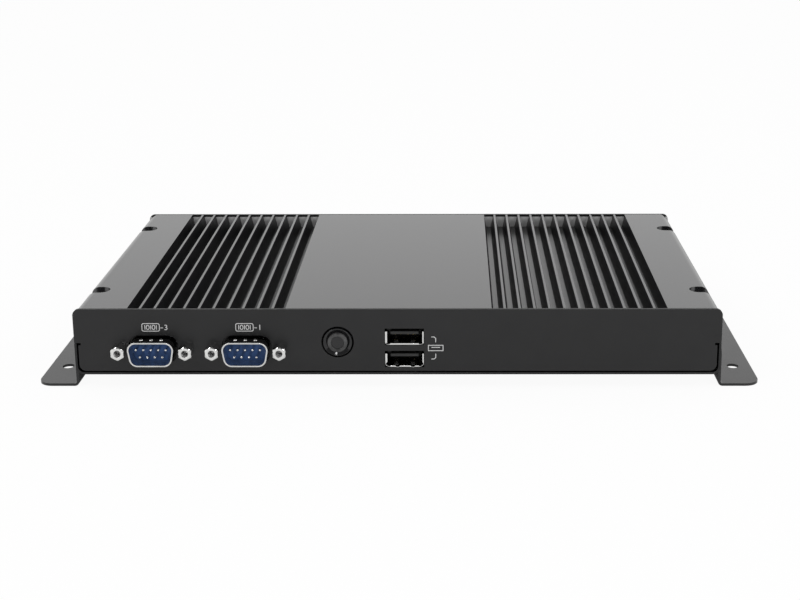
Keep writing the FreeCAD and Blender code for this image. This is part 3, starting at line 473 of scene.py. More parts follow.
def build_materials(settings):
    """Every finish on the object, kept by a plain name."""
    grain, edge = settings.grain, settings.edge
    extruded, brushed, milled = (1, 40, 1), (1, 6, 1), (1, 12, 1)
    steel, white_metal = (0.66, 0.66, 0.65), (0.74, 0.74, 0.73)

    def painted(name, rough, ior):
        """Black powder coat before its relief."""
        return Finish(name, settings.paint, rough, (0.01, 0.3), (0.008, 0.02), ior=ior)

    def grained(finish, radius=edge):
        """Fine grain over rounded, worn edges."""
        return finish.rounded(radius).bumped(grain, 0.00001, strength=0.25).worn(edge * 2, 0.2)

    def plated(name, colour=white_metal, rough=0.12, radius=edge):
        """Bright plate."""
        return Finish(name, colour, rough, (0.002, 0.1), (0.0015, 0.03), metal=1.0).rounded(radius)

    def moulded(name, colour, rough):
        """Dark moulding."""
        return Finish(name, colour, rough, (0.002, 0.4), (0.0015, 0.07))

    made = {
        "anodised": Finish("black_anodised", settings.anodised, 0.12, (0.02, 0.2, extruded),
                           (0.006, 0.012, extruded), ior=1.85)
        .matte_channels(0.2, 0.08, 0.2, 0.22, TOP - 0.004)
        .rounded(edge).bumped(0.0003, 0.000004, extruded, 0.12).worn(edge * 2, 0.3),
        "paint": grained(painted("black_paint", 0.24, 1.42)),
        "panel": grained(painted("panel_paint", 0.42, 1.47)
                         .bare_inside((0.5, 0.5, 0.5), 0.0672, TOP - 0.0132, TOP - 0.001), edge * 2),
        "bracket": grained(painted("bracket_paint", 0.22, 1.53)),
        "screw": Finish("black_zinc", (0.02, 0.02, 0.021), 0.3, (0.001, 0.5), (0.0008, 0.08), ior=1.6)
        .rounded(edge).bumped(),
        "zinc": Finish("bright_zinc", (0.62, 0.61, 0.6), 0.3, (0.002, 0.2), (0.001, 0.08), metal=1.0)
        .rounded(edge).bumped(),
        # Bright nickel and the USB mouths: painted shade on the metal behind the panel's face.
        "nickel": plated("bright_nickel").painted_shade_inside(),
        "mouth": plated("plated_mouth", radius=edge * 0.3).painted_shade_inside(0.06798, 0.0001),
        "spring": Finish("spring_steel", (0.35, 0.35, 0.35), 0.25, (0.001, 0.3), (0.001, 0.06), metal=1.0)
        .bumped(),
        # Greyer metal for the threaded bores than for the plate outside: painted shade inside the holes.
        "painted_shade_bore": Finish("bore_metal_painted_shade", (0.5, 0.5, 0.5), 0.3, (0.001, 0.4), (0.0006, 0.06), metal=1.0)
        .bumped(),
        "gold": Finish("flash_gold", (0.83, 0.62, 0.27), 0.22, (0.001, 0.2), (0.0006, 0.06), metal=1.0)
        .rounded(edge * 0.5),
        "blue": Finish("blue_moulding", settings.insulator, 0.45, (0.0016, 0.9, (1, 1, 2.5)), (0.002, 0.06),
                       specular=0.3)
        .rounded(edge).bumped(height=0.000008),
        "gloss": Finish("glossy_black", (0.006, 0.006, 0.0065), 0.1, (0.003, 0.3), (0.002, 0.03))
        .rounded(edge),
        # Darker, almost unreflecting black for the button cap's sides and flange: painted shade in the gap
        # round the cap.
        "gap_painted_shade": moulded("painted_shade_moulding", (0.003, 0.003, 0.003), 0.8).shade(Specular_IOR_Level=0.05),
        "black_plastic": moulded("black_moulding", (0.014, 0.014, 0.014), 0.45).rounded(edge).bumped(),
        "smoked": Finish("smoked_ring", (0.022, 0.022, 0.022), 0.3, (0.0034, 3.0), (0.001, 0.05),
                         specular=0.3)
        .rounded(edge),
        "board": Finish("solder_mask", settings.board, 0.35, (0.004, 0.4, brushed), (0.003, 0.06))
        .bumped(0.001, 0.00003),
        "chip": Finish("moulded_package", (0.02, 0.02, 0.022), 0.5, (0.001, 0.3), (0.001, 0.06))
        .rounded(edge).bumped(),
        "pad": Finish("thermal_pad", (0.32, 0.38, 0.45), 0.7, (0.001, 0.2), (0.001, 0.06))
        .bumped(0.0005, 0.00003),
        "milled": Finish("milled_aluminium", (0.75, 0.75, 0.76), 0.32, (0.002, 0.1, milled),
                         (0.001, 0.08, milled), metal=1.0)
        .rounded(edge).bumped(0.0002, 0.000006, milled),
        "white_film": Finish("white_film", (0.75, 0.75, 0.72), 0.4, (0.003, 0.08, brushed), (0.001, 0.06))
        .bumped(0.0006, 0.00002, extruded),
        "print": Finish("printed_marks", (0.56, 0.56, 0.56), 0.5, (0.0008, 0.12), (0.0005, 0.08)),
    }
    for lens, colour in (("green_lens", (0.05, 0.35, 0.08)), ("amber_lens", (0.6, 0.28, 0.03))):
        made[lens] = Finish(lens, colour, 0.2, (0.001, 0.3), (0.001, 0.04))
    for side in SIDES:
        # Each collar: painted dark reflection on its outside, and painted shade behind the panel's face.
        made["collar_" + side] = (
            plated("plated_collar_" + side, steel, 0.14, edge * 1.6)
            .painted_reflection_outside((0.11, 0.11, 0.11), node_middle("serial_shell_" + side), 0.0735).painted_shade_inside())
    MATERIALS.update({key: finish.material for key, finish in made.items()})


SLOT_FINISH = {
    "black_anodised": "anodised", "black_paint": "paint", "dark_screw": "screw",
    "bright_steel": "zinc", "nickel": "nickel", "blue_plastic": "blue", "gold_contact": "gold",
    "black_plastic": "gloss", "dark_plastic": "black_plastic", "clear_ring": "smoked",
    "circuit_board": "board", "chip": "chip", "pad": "pad", "plain_aluminium": "milled",
    "white_plastic": "white_film",
}
NODE_FINISH = {
    "serial_shell_left": "collar_left", "serial_shell_right": "collar_right",
    "front_panel": "panel", "rear_panel": "panel",
    "bracket_left": "bracket", "bracket_right": "bracket",
}


class COMPUTER_OT_finishes(bpy.types.Operator):
    """Build the finishes and give each solid the one that its slot names"""

    bl_idname = "computer.finishes"
    bl_label = "Finishes"

    def execute(self, context):
        build_materials(context.scene.computer_finish)
        for part in frame["record"]["subparts"]:
            mesh = frame["nodes"][part["node"]].data
            mesh.materials.clear()
            finish = NODE_FINISH.get(part["node"], SLOT_FINISH[part["material_slot"]])
            mesh.materials.append(MATERIALS[finish])
        return {"FINISHED"}


# ------------------------------------------------------------ screws


class ScrewSettings(bpy.types.PropertyGroup):
    """Sizes of the screws' small forms."""

    recess_width: metres("Recess width", "Width of each bar of the cross", 0.0008, 0.0003, 0.002)
    recess_reach: metres("Recess reach", "From the screw's axis to the end of a bar", 0.00165, 0.0005, 0.003)
    recess_depth: metres("Recess depth", "Depth of the cross at its middle", 0.0012, 0.0002, 0.003)
    jack_pitch: metres("Jack thread pitch", "Rise of the thread inside a jack screw for each turn",
                       0.000635, 0.0003, 0.001)


def dress_screws(node, axis_index, settings, flatness=0.714):
    """Cross-headed screws in the places of a node's plain ones; each head faces away from the case.

    Flatness is the height of a head as a share of its radius.
    """
    seat_share, shank_share = 0.714, 0.535
    skins = []
    for low, high in solid_boxes(node):
        seat = (low + high) / 2
        if axis_index < 2:
            outward = math.copysign(1.0, seat[axis_index])
        else:
            outward = 1.0 if node == "cover_screws" else -1.0
        axis = np.zeros(3)
        axis[axis_index] = outward
        radius = (high - low)[(axis_index + 1) % 3] / 2
        tail, tip = (low, high) if outward > 0 else (high, low)
        seat[axis_index] = tip[axis_index] - outward * radius * seat_share
        length = abs(seat[axis_index] - tail[axis_index])
        skins += cross_head(seat, axis, radius, radius * flatness, radius * shank_share, length, settings)
    piece = make_piece(node + "_dressed", skins, "screw")
    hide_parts(node)


class COMPUTER_OT_screws(bpy.types.Operator):
    """Make the cover, panel and bracket screws with their cross recesses"""

    bl_idname = "computer.screws"
    bl_label = "Screws"

    def execute(self, context):
        settings = context.scene.computer_screws
        dress_screws("cover_screws", 2, settings)
        dress_screws("panel_screws", 2, settings, 0.45)
        dress_screws("bracket_screws", 0, settings)
        return {"FINISHED"}


def jack_screw(low, high, pitch):
    """Outside and threaded bore of a six-sided standoff.

    The outside radius at each angle is the smaller of the hexagon's and a cone's that starts
    at the end's rim. The bore's radius rises and falls once for each pitch along a helix.
    """
    middle = (low + high) / 2
    flat = (high[0] - low[0]) / 2
    body, stud, bore, relief, bore_depth, chamfer = 0.005, 0.0014, 0.00125, 0.00022, 0.0045, 0.0001
    angle = np.linspace(0, TURN, 72, endpoint=False)
    hexagon = flat / np.cos((angle + TURN / 12) % (TURN / 6) - TURN / 12)
    depth = np.array([0, 0.0001, 0.0003, 0.0006, 0.001, 0.0049, body])
    cone = flat * 0.9 + depth * 1.6
    radius = np.minimum(hexagon[None, :], cone[:, None])
    spoke = np.cos(angle)[:, None] * RIGHT + np.sin(angle)[:, None] * UP
    centre = np.array([middle[0], low[1], middle[2]])
    outside = centre + radius[..., None] * spoke + depth[:, None, None] * BACK
    along = np.linspace(0, 0.0042, 43)
    phase = (along[:, None] / pitch + angle[None, :] / TURN) % 1
    wave = bore - relief * abs(2 * phase - 1) * smooth_step(along, 0, 0.0004)[:, None]
    inside = centre + wave[..., None] * spoke + along[:, None, None] * BACK

    def ring(size, place):
        """Circle about the axis."""
        return centre + size * spoke + place * BACK

    mouth = ring(bore, chamfer)
    outer = [ring(bore, bore_depth), mouth, ring(bore * 1.12, 0), *outside,
             ring(stud, body), ring(stud, high[1] - low[1])]
    inner = [ring(0, bore_depth), *inside[::-1], mouth]
    return (np.stack(outer), False, True), (np.stack(inner), False, True)


def rounded_pin(low, high):
    """Round pin along Y with a domed tip."""
    middle = (low + high) / 2
    radius = (high[0] - low[0]) / 2
    length = high[1] - low[1]
    bend = np.linspace(0, math.pi / 2, 6)
    profile = [(radius * math.sin(b), length - radius * (1 - math.cos(b))) for b in bend]
    profile += [(radius, 0.0), (0.0, 0.0)]
    return turned(profile, (middle[0], high[1], middle[2]), -BACK, 20)


def shell_dimples(node):
    """Raised dimples on the collar of a port, three above and two below: caps of small spheres."""
    middle = node_middle(node)
    radius, height, foot = 0.00078, 0.00045, -0.0001
    spacing, reach, from_front = 0.00375, 0.00473, 0.0029
    bend = np.linspace(0, math.pi / 2, 6)
    profile = [(radius * math.sin(b), height * math.cos(b)) for b in bend] + [(radius, foot), (0, foot)]
    skins = []
    for side, steps in ((1, (-1, 0, 1)), (-1, (-0.5, 0.5))):
        for step in steps:
            centre = (middle[0] + step * spacing, FRONT - from_front, middle[2] + side * reach)
            skins.append(turned(profile, centre, side * UP, 16))
    return skins


class COMPUTER_OT_serial_ports(bpy.types.Operator):
    """Make the pins, dimples and threaded jack screws of the two nine-pin ports"""

    bl_idname = "computer.serial_ports"
    bl_label = "Serial Ports"

    def execute(self, context):
        pitch = context.scene.computer_screws.jack_pitch
        jacks = [jack_screw(low, high, pitch) for low, high in solid_boxes("serial_jack_screws")]
        piece = make_piece("jack_screws_outside", [jack[0] for jack in jacks], "nickel",
                           corner=25)
        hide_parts("serial_jack_screws")
        make_piece("jack_screws_bores", [jack[1] for jack in jacks], "painted_shade_bore")
        for side in SIDES:
            make_piece("serial_dimples_" + side, shell_dimples("serial_shell_" + side), "nickel")
        for side in SIDES:
            node = "serial_pins_" + side
            pins = [rounded_pin(low, high) for low, high in solid_boxes(node)]
            piece = make_piece(node + "_domed", pins, "nickel")
            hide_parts(node)
        return {"FINISHED"}


# ------------------------------------------------------------ contacts and springs


class SocketSettings(bpy.types.PropertyGroup):
    """Sizes of contacts, springs, tongues and sleeves of the sockets."""

    contact_width: metres("Contact width", "Width of a flat contact", 0.001, 0.0003, 0.002)
    spring_width: metres("Spring width", "Width of a shell's spring finger", 0.0016, 0.0005, 0.004)
    sheet: metres("Spring sheet", "Thickness of the fingers' sheet", 0.00025, 0.0001, 0.0006)
    tongue_width: metres("Tongue width", "Width of the plate inside a socket", 0.0104, 0.005, 0.012)
    tongue_thickness: metres("Tongue thickness", "Thickness of the plate inside a socket",
                             0.00184, 0.001, 0.003)
    tongue_drop: metres("Tongue drop", "From the top of the sleeve's inside down to the plate",
                        0.00075, 0, 0.002)
    shell_wall: metres("Sleeve wall", "Thickness of the sleeve's sheet", 0.0003, 0.0001, 0.001)
    flare_side: metres("Side flare", "How far the mouth spreads to each side", 0.0006, 0, 0.002)
    flare_height: metres("Upward flare", "How far the mouth spreads up and down", 0.0002, 0, 0.002)
    flare_length: metres("Flare length", "Length of the flared part of the sleeve", 0.0013, 0.0005, 0.003)


class ButtonSettings(bpy.types.PropertyGroup):
    """Sizes of the button's front."""

    cap_width: metres("Cap width", "Width of the part of the button that fills the hole",
                      0.0108, 0.005, 0.012)
    ring_width: metres("Ring width", "From the inside to the outside of the light ring",
                       0.0013, 0.0005, 0.002)
    rim_height: metres("Rim height", "How far the cap's rim stands out of the panel", 0.00036, 0, 0.0006)
    dish: metres("Dish", "Where the face at the ring's foot lies, out of the panel", -0.0002, -0.001, 0.0003)


def finger(start, run, settings):
    """Spring finger: a strip along a run that bows up by part of a sine along its length."""
    length, bow, wave = 0.005, 0.0007, 0.72
    share = np.linspace(0, 1, 14)[:, None]
    path = start + share * length * run + np.sin(share * math.pi * wave) * bow * UP
    normal = np.cross(unit(np.gradient(path, axis=0)), RIGHT)
    section = box_section(settings.spring_width, settings.sheet, settings.sheet * 0.25)
    return swept(section, path, RIGHT, normal)


def usb_contacts(tongue, mouth_direction, settings):
    """Four flat contacts under the tongue of a socket, each bowed down by a sine along its length."""
    setback, length, bow, gap, thickness = 0.0024, 0.0053, 0.00025, 0.00006, 0.0002
    low, high = node_box(tongue)
    middle = (low + high) / 2
    mouth = low[1] if mouth_direction < 0 else high[1]
    under = high[2] - settings.tongue_drop - settings.tongue_thickness
    share = np.linspace(0, 1, 8)
    along = mouth - mouth_direction * (setback + share * length)
    height = under - gap - bow * np.sin(share * math.pi)
    places = middle[0] + np.array([-0.0035, -0.001, 0.001, 0.0035]) * -mouth_direction
    return [strip(place, along, height, settings.contact_width, thickness) for place in places]


def bevelled_tongue(tongue, settings):
    """Block at a front socket's root and the plate that it carries, whose front is stepped below."""
    low, high = node_box(tongue)
    chamfer, step, step_start, step_end, root_length = 0.0001, 0.0011, 0.0016, 0.0022, 0.0032
    front, root, top = low[1], high[1] - root_length, high[2] - settings.tongue_drop
    under = top - settings.tongue_thickness
    half = settings.tongue_width / 2
    middle = (low[0] + high[0]) / 2
    plate = [(front, top - step), (front, top - chamfer), (front + chamfer, top), (root, top),
             (root, under), (front + step_end, under), (front + step_start, top - step)]
    block = [(root, low[2]), (root, high[2]), (high[1], high[2]), (high[1], low[2])]
    skins = []
    for section, start, end in ((plate, middle - half, middle + half), (block, low[0], high[0])):
        skins.append(swept(section, [(start, 0, 0), (end, 0, 0)], BACK, UP))
    return skins


def mouth_outline(half_x, half_z, lower_x, lower_z, upper, dips, dip):
    """Oblong with elliptic lower corners and round upper ones, from the lower left round to the left side.

    Along the lower side the height sinks by the dip times a raised cosine about each of the dips.
    """
    bend = np.linspace(0, math.pi / 2, 9)
    x = np.linspace(-half_x + lower_x, half_x - lower_x, 49)
    sunk = sum(np.where(abs(x - place) < 0.001, 0.5 + 0.5 * np.cos((x - place) / 0.001 * math.pi), 0)
               for place in dips) if dips else np.zeros(49)
    lower = np.stack([x, -half_z - dip * sunk], axis=1)
    rise, fall = 1 - np.cos(bend), 1 - np.sin(bend)
    right_low = np.stack([half_x - lower_x * fall, -half_z + lower_z * rise], axis=1)
    right_top = np.stack([half_x - upper * rise, half_z - upper * fall], axis=1)
    side = np.linspace(0, 1, 8)[1:-1, None]
    right = right_low[-1] + side * (right_top[0] - right_low[-1])
    top = np.stack([np.linspace(half_x - upper, upper - half_x, 22)[1:-1], np.full(20, half_z)], axis=1)
    mirror = np.array([-1, 1])
    return np.concatenate([lower, right_low[1:], right, right_top, top, right_top[::-1] * mirror,
                           right[::-1] * mirror, right_low[:0:-1] * mirror])


def mouth_shell(node, settings, lower_z, dips):
    """Steel sleeve of a front socket with its flared mouth.

    Six outlines are joined: outside at the root, before the flare and at the mouth, then inside at the
    mouth, behind the flare and at the root. The wall at the mouth is thick along the sides and the
    lower side and thin round the lower corners and at each spring finger.
    """
    low, high = node_box(node)
    middle = (low + high) / 2
    half_x, half_z = (high[0] - low[0]) / 2, (high[2] - low[2]) / 2
    neck_x, neck_z = half_x - settings.flare_side, half_z - settings.flare_height
    wall, lip = settings.shell_wall, settings.flare_length
    corner, upper, dip, neck_share = 0.0019, 0.0003, 0.00018, 0.8
    left_wall, plain_wall, lower_wall, thin_wall = 0.0007, 0.00045, 0.0005, 0.00012
    mouth = mouth_outline(half_x, half_z, corner, lower_z, upper, dips, dip)
    step = np.roll(mouth, -1, axis=0) - np.roll(mouth, 1, axis=0)
    inward = quarter_turn(unit(step))
    x, z = mouth.T
    in_corner = (z < lower_z - half_z) & (abs(x) > half_x - corner)
    at_finger = sum(smooth_step(abs(x - place), 0.001, 0.0006) for place in dips) if dips else 0 * x
    thick = np.where(x < corner - half_x, left_wall, plain_wall)
    beside_finger = lower_wall - (lower_wall - thin_wall) * np.clip(at_finger, 0, 1)
    thick = np.where(z < -half_z * 0.9, beside_finger, thick)
    thick = np.where(in_corner, thin_wall, thick)
    on_top = z > half_z * 0.9
    corner, lower_z = corner * neck_share, lower_z * neck_share
    neck = mouth_outline(neck_x, neck_z, corner, lower_z, upper, (), 0)
    bore = mouth_outline(neck_x - wall, neck_z - wall, corner, lower_z, upper, (), 0)
    rows = [
        (neck, high[1]), (neck, low[1] + lip), (mouth, low[1] + 0.0007 * on_top),
        (mouth + inward * thick[:, None], low[1] + 0.001 * on_top),
        (bore, low[1] + lip), (bore, high[1]),
    ]
    grid = np.stack([
        np.stack([middle[0] + flat[:, 0], np.broadcast_to(y, len(flat)), middle[2] + flat[:, 1]], axis=1)
        for flat, y in rows])
    return grid, True, True


def shell_fingers(shell, mouth_direction, settings):
    """Two spring fingers in the floor of a socket's shell."""
    low, high = node_box(shell)
    middle = (low + high) / 2
    mouth = low[1] if mouth_direction < 0 else high[1]
    spread, setback, lift = 0.0031, 0.0006, 0.0006
    skins = []
    for offset in (-spread, spread):
        start = [middle[0] + offset, mouth - setback * mouth_direction, low[2] + lift]
        skins.append(finger(start, -mouth_direction * BACK, settings))
    return skins


class COMPUTER_OT_usb_contacts(bpy.types.Operator):
    """Make the front USB sleeves and tongues, and the contacts and spring fingers of all four sockets"""

    bl_idname = "computer.usb_contacts"
    bl_label = "USB Contacts"

    def execute(self, context):
        settings = context.scene.computer_sockets
        for place, lower_z, dips in (("upper", 0.0007, ()), ("lower", 0.0013, (-0.0026, 0.0031))):
            shell, tongue = "front_usb_shell_" + place, "front_usb_tongue_" + place
            piece = make_piece(shell + "_flared", [mouth_shell(shell, settings, lower_z, dips)],
                               "mouth", corner=25)
            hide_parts(shell)
            piece = make_piece(tongue + "_bevelled", bevelled_tongue(tongue, settings),
                               "black_plastic", corner=20)
            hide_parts(tongue)
        sockets = [("front", "upper", -1), ("front", "lower", -1), ("rear", "left", 1), ("rear", "right", 1)]
        for end, place, direction in sockets:
            name = end + "_usb_{}_" + place
            make_piece(name.format("contacts"), usb_contacts(name.format("tongue"), direction, settings),
                       "gold")
            make_piece(name.format("fingers"), shell_fingers(name.format("shell"), direction, settings),
                       "spring")
        return {"FINISHED"}


class COMPUTER_OT_button(bpy.types.Operator):
    """Make the button's cap with its raised rim and the rounded light ring"""

    bl_idname = "computer.button"
    bl_label = "Button"

    def execute(self, context):
        settings = context.scene.computer_button
        low, high = node_box("button_cap")
        ring_low, ring_high = node_box("button_light_ring")
        middle = (low + high) / 2
        centre = (middle[0], FRONT, middle[2])
        outer = (ring_high[0] - ring_low[0]) / 2
        inner = outer - settings.ring_width
        edge, rim, dish = settings.cap_width / 2, settings.rim_height, settings.dish
        face, back, seam = FRONT - low[1], FRONT - high[1], -0.001
        flange, flange_front, flange_back, stem = (high[0] - low[0]) / 2, -0.0013, -0.0024, 0.0019
        # Flat face, the ring's groove, the dish's slope, the rounded rim and the side.
        profile = [
            (0, face), (inner, face), (inner, dish), (outer + 0.00006, dish),
            (edge - 0.00022, rim - 0.00003), (edge - 0.00012, rim), (edge - 0.00004, rim - 0.00006),
            (edge, rim - 0.0002), (edge, seam), (0, seam),
        ]
        cap = make_piece("button_cap_face", [turned(profile, centre, -BACK, 96)], "gloss",
                         body="power_button", corner=14)
        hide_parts("button_cap")
        # The cap's sides and flange take the painted-shade black, so the gap round the cap reads dark.
        profile = [(0, seam), (edge, seam), (edge, flange_front), (flange, flange_front),
                   (flange, flange_back), (stem, flange_back), (stem, back), (0, back)]
        make_piece("button_cap_body", [turned(profile, centre, -BACK, 96)], "gap_painted_shade",
                   body="power_button")
        half, top = (outer - inner) / 2, FRONT - ring_low[1]
        bend = np.linspace(0, math.pi, 13)
        profile = [(inner + half - half * math.cos(b), top - 0.0004 * (1 - math.sin(b))) for b in bend]
        profile += [(outer, dish), (inner, dish)]
        grid, _, _ = turned(profile, centre, -BACK, 96)
        ring = make_piece("button_ring_rounded", [(grid, True, True)], "smoked",
                          body="power_button")
        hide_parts("button_light_ring")
        return {"FINISHED"}


class COMPUTER_OT_rear_contacts(bpy.types.Operator):
    """Make the contacts and lights of the network and display sockets"""

    bl_idname = "computer.rear_contacts"
    bl_label = "Rear Contacts"

    def execute(self, context):
        setback, length, rise, fall, pitch, width = 0.002, 0.008, 0.0078, 0.0024, 0.00102, 0.00045
        share = np.linspace(0, 1, 10)
        for side in SIDES:
            low, high = node_box("lan_socket_" + side)
            middle, mouth = (low[0] + high[0]) / 2, high[1]
            along = mouth - setback - share * length
            height = low[2] + rise - fall * (1 - share) ** 1.5
            skins = [strip(place, along, height, width, 0.0003)
                     for place in middle + (np.arange(8) - 3.5) * pitch]
            make_piece("lan_contacts_" + side, skins, "gold")
            for lens, offset in (("green_lens", -0.0057), ("amber_lens", 0.0057)):
                ends = mouth + np.array([-0.0004, 0.0001])
                skin = strip(middle + offset, ends, high[2] - 0.0014, 0.0026, 0.0016, 0.0002)
                make_piece(lens + "_" + side, [skin], lens)
        low, high = node_box("hdmi_tongue")
        middle, mouth = (low[0] + high[0]) / 2, high[1]
        ends = mouth - np.array([0.0004, 0.005])
        skins = [strip(place, ends, high[2] - drop, width, 0.00012)
                 for count, drop in ((10, 0.0018), (9, 0.0031))
                 for place in middle + (np.arange(count) - (count - 1) / 2) * 0.001]
        make_piece("hdmi_contacts", skins, "gold")
        return {"FINISHED"}


# ------------------------------------------------------------ printed marks


class MarkSettings(bpy.types.PropertyGroup):
    """Sizes of the printed marks beside the front sockets."""

    line: metres("Line width", "Width of a printed line", 0.00028, 0.0001, 0.001)
    film: metres("Film", "Thickness of the print", 0.00003, 0.00001, 0.0002)
    port_width: metres("Port outline width", "Width of the small outline of a serial port",
                       0.0065, 0.002, 0.02)
    port_height: metres("Port outline height", "Height of the small outline of a serial port",
                        0.00295, 0.001, 0.01)
    rise: metres("Rise", "From the middle of a port up to the middle of its outline", 0.0087, 0.006, 0.02)
    left_number: words("Left number", "Number printed at the left port", "3")
    right_number: words("Right number", "Number printed at the right port", "1")


def printed_line(points, settings, closed=False):
    """Film along a flat line on the front panel; at each corner it is widened to keep its width."""
    flat = np.array(points, float)
    before = np.roll(flat, 1, axis=0)
    after = np.roll(flat, -1, axis=0)
    if not closed:
        before[0] = 2 * flat[0] - flat[1]
        after[-1] = 2 * flat[-1] - flat[-2]
    side_in, side_out = quarter_turn(unit(flat - before)), quarter_turn(unit(after - flat))
    side = unit(side_in + side_out)
    side /= np.clip((side * side_in).sum(axis=1), 0.5, 1)[:, None]
    path = np.stack([flat[:, 0], np.full(len(flat), FRONT - settings.film / 2), flat[:, 1]], axis=1)
    direction = np.stack([side[:, 0], np.zeros(len(flat)), side[:, 1]], axis=1)
    grid, _, _ = swept(box_section(settings.line, settings.film), path, direction, BACK)
    if closed:
        return grid[1:-1], True, True
    return grid, False, True


def oblong(x, z, half_x, half_z):
    """Corners of an upright oblong, from the upper left one round to the right."""
    left, right, under, over = x - half_x, x + half_x, z - half_z, z + half_z
    return [(left, over), (right, over), (right, under), (left, under)]


def port_outline(x, z, width, height):
    """Oblong outline whose corners are drawn as curves of the second degree."""
    corners = np.array(oblong(0, 0, width / 2, height / 2))
    corner_share, share = 0.24, np.linspace(0, 1, 6)[:, None]
    points = []
    for index in range(4):
        here, beside = corners[index], corners[[index - 1, (index + 1) % 4]]
        start, end = here + unit(beside - here) * height * corner_share
        points.append((1 - share) ** 2 * start + 2 * share * (1 - share) * here + share ** 2 * end)
    return np.concatenate(points) + (x, z)


def printed_number(text, x, z, height, name):
    """A plain figure, made a mesh, stood up on the front panel."""
    half_film, figure_share = 0.000015, 0.7
    curve = bpy.data.curves.new(name, "FONT")
    curve.body = text
    curve.size = height / figure_share
    curve.align_x = "CENTER"
    curve.extrude = half_film
    holder = bpy.data.objects.new(name + "_curve", curve)
    bpy.context.scene.collection.objects.link(holder)
    bpy.context.view_layer.update()
    mesh = bpy.data.meshes.new_from_object(holder.evaluated_get(bpy.context.evaluated_depsgraph_get()))
    bpy.data.objects.remove(holder)
    place = Matrix.Translation((x, FRONT - half_film, z - height / 2))
    mesh.transform(place @ Matrix.Rotation(TURN / 4, 4, "X"))
    mesh.materials.clear()
    mesh.materials.append(MATERIALS["print"])
    piece = bpy.data.objects.new(name, mesh)
    bpy.context.scene.collection.objects.link(piece)
    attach(piece, "case")


class COMPUTER_OT_marks(bpy.types.Operator):
    """Print the plain port marks on the front panel"""

    bl_idname = "computer.marks"
    bl_label = "Marks"

    def execute(self, context):
        settings = context.scene.computer_marks
        width, height = settings.port_width, settings.port_height
        spacing, half_bar, dash_start, dash_end, dash_drop = 0.165, 0.3, 0.0036, 0.0046, 0.0002
        number_offset, number_height = 0.0057, 0.0021
        turns = np.linspace(0, TURN, 12, endpoint=False)
        circle = np.stack([0.085 * width * np.cos(turns), 0.29 * height * np.sin(turns)], axis=1)
        for side, number in (("left", settings.left_number), ("right", settings.right_number)):
            port = node_middle("serial_shell_" + side)
            x, z = port[0] - 0.0006, port[2] + settings.rise
            skins = [printed_line(port_outline(x, z, width, height), settings, closed=True)]
            for step in range(-2, 3):
                place = x + step * width * spacing
                if step % 2:
                    skins.append(printed_line(circle + (place, z), settings, closed=True))
                else:
                    bar = [(place, z - half_bar * height), (place, z + half_bar * height)]
                    skins.append(printed_line(bar, settings))
            dash = [(x + dash_start, z - dash_drop), (x + dash_end, z - dash_drop)]
            skins.append(printed_line(dash, settings))
            make_piece("mark_serial_" + side, skins, "print")
            printed_number(number, x + number_offset, z, number_height, "mark_number_" + side)
        upper, lower = node_middle("front_usb_shell_upper"), node_middle("front_usb_shell_lower")
        x, z = node_box("front_usb_shell_upper")[1][0] + 0.0045, (upper[2] + lower[2]) / 2
        reach, back, cut, down = 0.00435, 0.0016, 0.0006, 0.0021
        brackets = [[(x - back, z + side * reach), (x - cut, z + side * reach),
                     (x, z + side * (reach - cut)), (x, z + side * (reach - down))] for side in (1, -1)]
        skins = [printed_line(bracket, settings) for bracket in brackets]
        skins.append(printed_line(oblong(x, z, width * 0.42, height * 0.36)[::-1], settings, closed=True))
        bar = [(x - width * 0.25, z + height * 0.08), (x + width * 0.25, z + height * 0.08)]
        skins.append(printed_line(bar, settings))
        make_piece("mark_usb", skins, "print")
        return {"FINISHED"}


# ------------------------------------------------------------ studio


class StudioSettings(bpy.types.PropertyGroup):
    """Camera, floor and light."""

    place: FloatVectorProperty(name="Camera place", description="Where the camera stands",
                               subtype="TRANSLATION", unit="LENGTH", default=(0.021069, -0.553066, 0.198344))
    tilt: degrees("Tilt", "How far the camera looks down", 13.622)
    turn: degrees("Turn", "How far the camera turns to the left", 0.453)
    roll: degrees("Roll", "How far the camera leans", -0.179)
    lens: FloatProperty(name="Lens", description="Focal length on a 36 mm wide sensor, in millimetres",
                        default=62.1597, min=10, max=300)
    shift: FloatVectorProperty(name="Shift", description="Sideways and upwards shift of the lens", size=2,
                               default=(-0.05386, -0.15))
    sky: brightness("Sky", "Strength of the soft light from all round", 0.7, 2.0)
    ceiling: brightness("Ceiling", "Brightness of the ceiling in reflections", 0.15)
    room: brightness("Room", "Brightness of the room behind the camera in reflections", 0.25)
    floor_light: brightness("Floor brightness", "How white the floor looks by itself", 0.94)
    floor_mirrored: brightness("Mirrored floor", "How white the floor is by itself in reflections", 0.05)


def add_object(name, data):
    """A new object in the scene."""
    made = bpy.data.objects.new(name, data)
    bpy.context.scene.collection.objects.link(made)
    return made


def aim_camera(scene, settings):
    """Camera that is turned about the vertical, tilted down and then leaned about its own axis."""
    turn = Matrix.Rotation(settings.turn, 3, "Z")
    ahead = turn @ Vector((0, math.cos(settings.tilt), -math.sin(settings.tilt)))
    up = turn @ Vector((0, math.sin(settings.tilt), math.cos(settings.tilt)))
    right = turn @ Vector((1, 0, 0))
    side = math.cos(settings.roll) * right + math.sin(settings.roll) * up
    over = -math.sin(settings.roll) * right + math.cos(settings.roll) * up
    camera = add_object("camera", bpy.data.cameras.new("camera"))
    facing = Matrix((side, over, -ahead)).transposed().to_4x4()
    camera.matrix_world = Matrix.Translation(settings.place) @ facing
    camera.data.sensor_width = 36.0
    camera.data.lens = settings.lens
    camera.data.shift_x, camera.data.shift_y = settings.shift
    camera.data.clip_start, camera.data.clip_end = 0.01, 50
    scene.camera = camera


